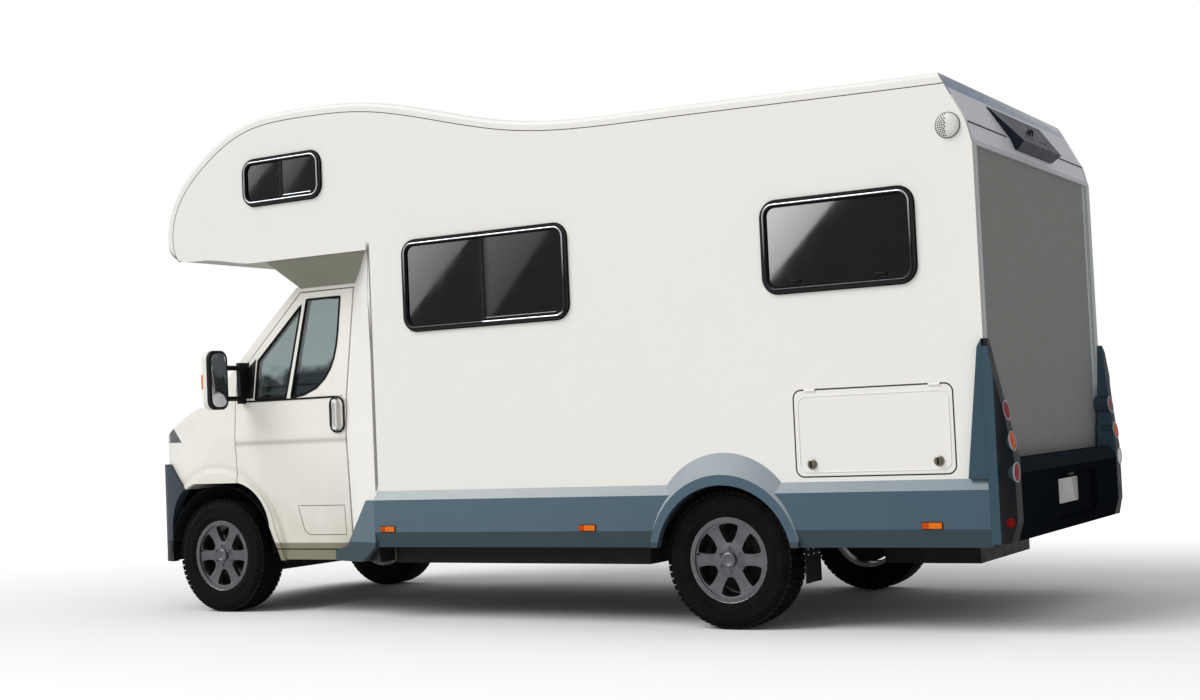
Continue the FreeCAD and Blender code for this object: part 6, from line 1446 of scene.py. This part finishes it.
for make in (make_wheels, make_wheel_houses, make_window_trim, make_wall_seams, make_locker_trim,
             make_entry_trim, make_cowl, make_tail_lamps, make_rear_trim, make_cab_door_trim,
             make_screen_trim, make_radiator, make_seats, make_underbody):
    make()


# Stage: pale floor, white surroundings, soft light and the camera


WHITE = (1, 1, 1, 1)
BLACK = (0, 0, 0, 1)
FLOOR_REACH = 400
FLOOR_GLOW = 0.25
ROOM_LIGHT = 0.50
ROOM_GLOSS = 0.35
KEY_LIGHT = 1.85
KEY_AIM = Vector((-0.50, -0.55, -0.67))
BOARD_Y = 9.8
WINDOW_BOARDS = (
    # left, right, foot, head and light of what each left pane mirrors, on a plane beside the vehicle
    (7.45, 6.16, 2.42, 3.60, 12.0),
    (6.06, 5.00, 2.42, 3.60, 5.0),
    (2.45, 1.25, 2.42, 3.60, 34.0),
    (10.1, 9.34, 4.30, 4.92, 8.0),
    (9.29, 8.70, 4.30, 4.92, 5.0),
)


def flat_object(name, points, finish):
    """A flat card of the stage."""
    mesh = bpy.data.meshes.new(name)
    mesh.from_pydata(points, [], [tuple(range(len(points)))])
    mesh.materials.append(finish.material)
    card = bpy.data.objects.new(name, mesh)
    bpy.context.scene.collection.objects.link(card)
    return card


def make_floor():
    """A pale floor that reads as paper white ahead of the camera and still takes the shadow."""
    finish = Finish("floor_pale")
    seen = finish.add("ShaderNodeLightPath").outputs["Is Camera Ray"]
    spread = finish.reach(finish.times(finish.x, 0.5), finish.y)
    finish.set(Base_Color=finish.mix(seen, (0.80, 0.80, 0.80, 1), (0.96, 0.96, 0.96, 1)), Roughness=0.9,
               Specular_IOR_Level=0.0, Emission_Color=WHITE,
               Emission_Strength=finish.times(seen, finish.ramp(spread, 1.6, 5.5, 0.0, FLOOR_GLOW)))
    far = FLOOR_REACH
    flat_object("floor", [(-far, -far, 0), (far, -far, 0), (far, far, 0), (-far, far, 0)], finish)


def make_room():
    """White surroundings: full white to the eye and through glass, softer in gloss and as a light."""
    world = bpy.data.worlds.new("white_room")
    bpy.context.scene.world = world
    world.use_nodes = True
    room = Nodes(world.node_tree)
    path = room.add("ShaderNodeLightPath").outputs
    seen = room.most(room.most(path["Is Camera Ray"], path["Is Transmission Ray"]),
                     room.times(path["Is Glossy Ray"], ROOM_GLOSS))
    back = room.nodes["Background"].inputs
    back["Color"].default_value = WHITE
    room.feed(back["Strength"], room.ramp(seen, 0.0, 1.0, ROOM_LIGHT, 1.0))


def make_lamps():
    """A broad key light from ahead and above the left side, and lit boards for the windows to reflect."""
    sun = bpy.data.lights.new("key_light", "SUN")
    sun.energy = KEY_LIGHT
    sun.angle = math.radians(40)
    holder = bpy.data.objects.new("key_light", sun)
    holder.rotation_euler = KEY_AIM.to_track_quat("-Z", "Y").to_euler()
    bpy.context.scene.collection.objects.link(holder)
    panes = bpy.data.collections.new("panes_lit_by_boards")
    panes.objects.link(NODES["window_panes"])
    for number, board in enumerate(WINDOW_BOARDS):
        make_board(f"window_board_{number}", *board).light_linking.receiver_collection = panes


def make_board(name, left, right, foot, head, light):
    """A lit card with one slanting edge, which only reflections see; it fades towards its foot."""
    finish = Finish(name)
    level = finish.ramp(finish.plus(finish.z, finish.x), foot + right, head + left, 0.0, light)
    finish.set(Base_Color=BLACK, Emission_Color=WHITE, Emission_Strength=level)
    board = flat_object(name, [(left, BOARD_Y, foot), (left, BOARD_Y, head), (right, BOARD_Y, head)], finish)
    board.visible_camera = board.visible_diffuse = board.visible_shadow = board.visible_transmission = False
    return board


CAMERA_PLACE = (-5.518, 9.034, 1.139)
CAMERA_TURNS = (-58.98, 2.52, -2.55)
CAMERA_FOCUS_SHARE = 1650.2 / 1200
SENSOR_WIDTH = 36.0


def make_camera():
    """The photograph's viewpoint, from a fit of known corners of the vehicle."""
    yaw, pitch, roll = (math.radians(angle) for angle in CAMERA_TURNS)
    ahead = Vector((math.cos(pitch) * math.cos(yaw), math.cos(pitch) * math.sin(yaw), math.sin(pitch)))
    right = ahead.cross(Vector((0, 0, 1))).normalized()
    up = right.cross(ahead)
    side = math.cos(roll) * right + math.sin(roll) * up
    top = -math.sin(roll) * right + math.cos(roll) * up
    data = bpy.data.cameras.new("photo_camera")
    data.sensor_fit = "HORIZONTAL"
    data.sensor_width = SENSOR_WIDTH
    data.lens = CAMERA_FOCUS_SHARE * SENSOR_WIDTH
    camera = bpy.data.objects.new("photo_camera", data)
    turn = Matrix((side, top, -ahead)).transposed().to_4x4()
    camera.matrix_world = Matrix.Translation(CAMERA_PLACE) @ turn
    bpy.context.scene.collection.objects.link(camera)
    bpy.context.scene.camera = camera


make_floor()
make_room()
make_lamps()
make_camera()
bpy.context.scene.view_settings.view_transform = "Standard"
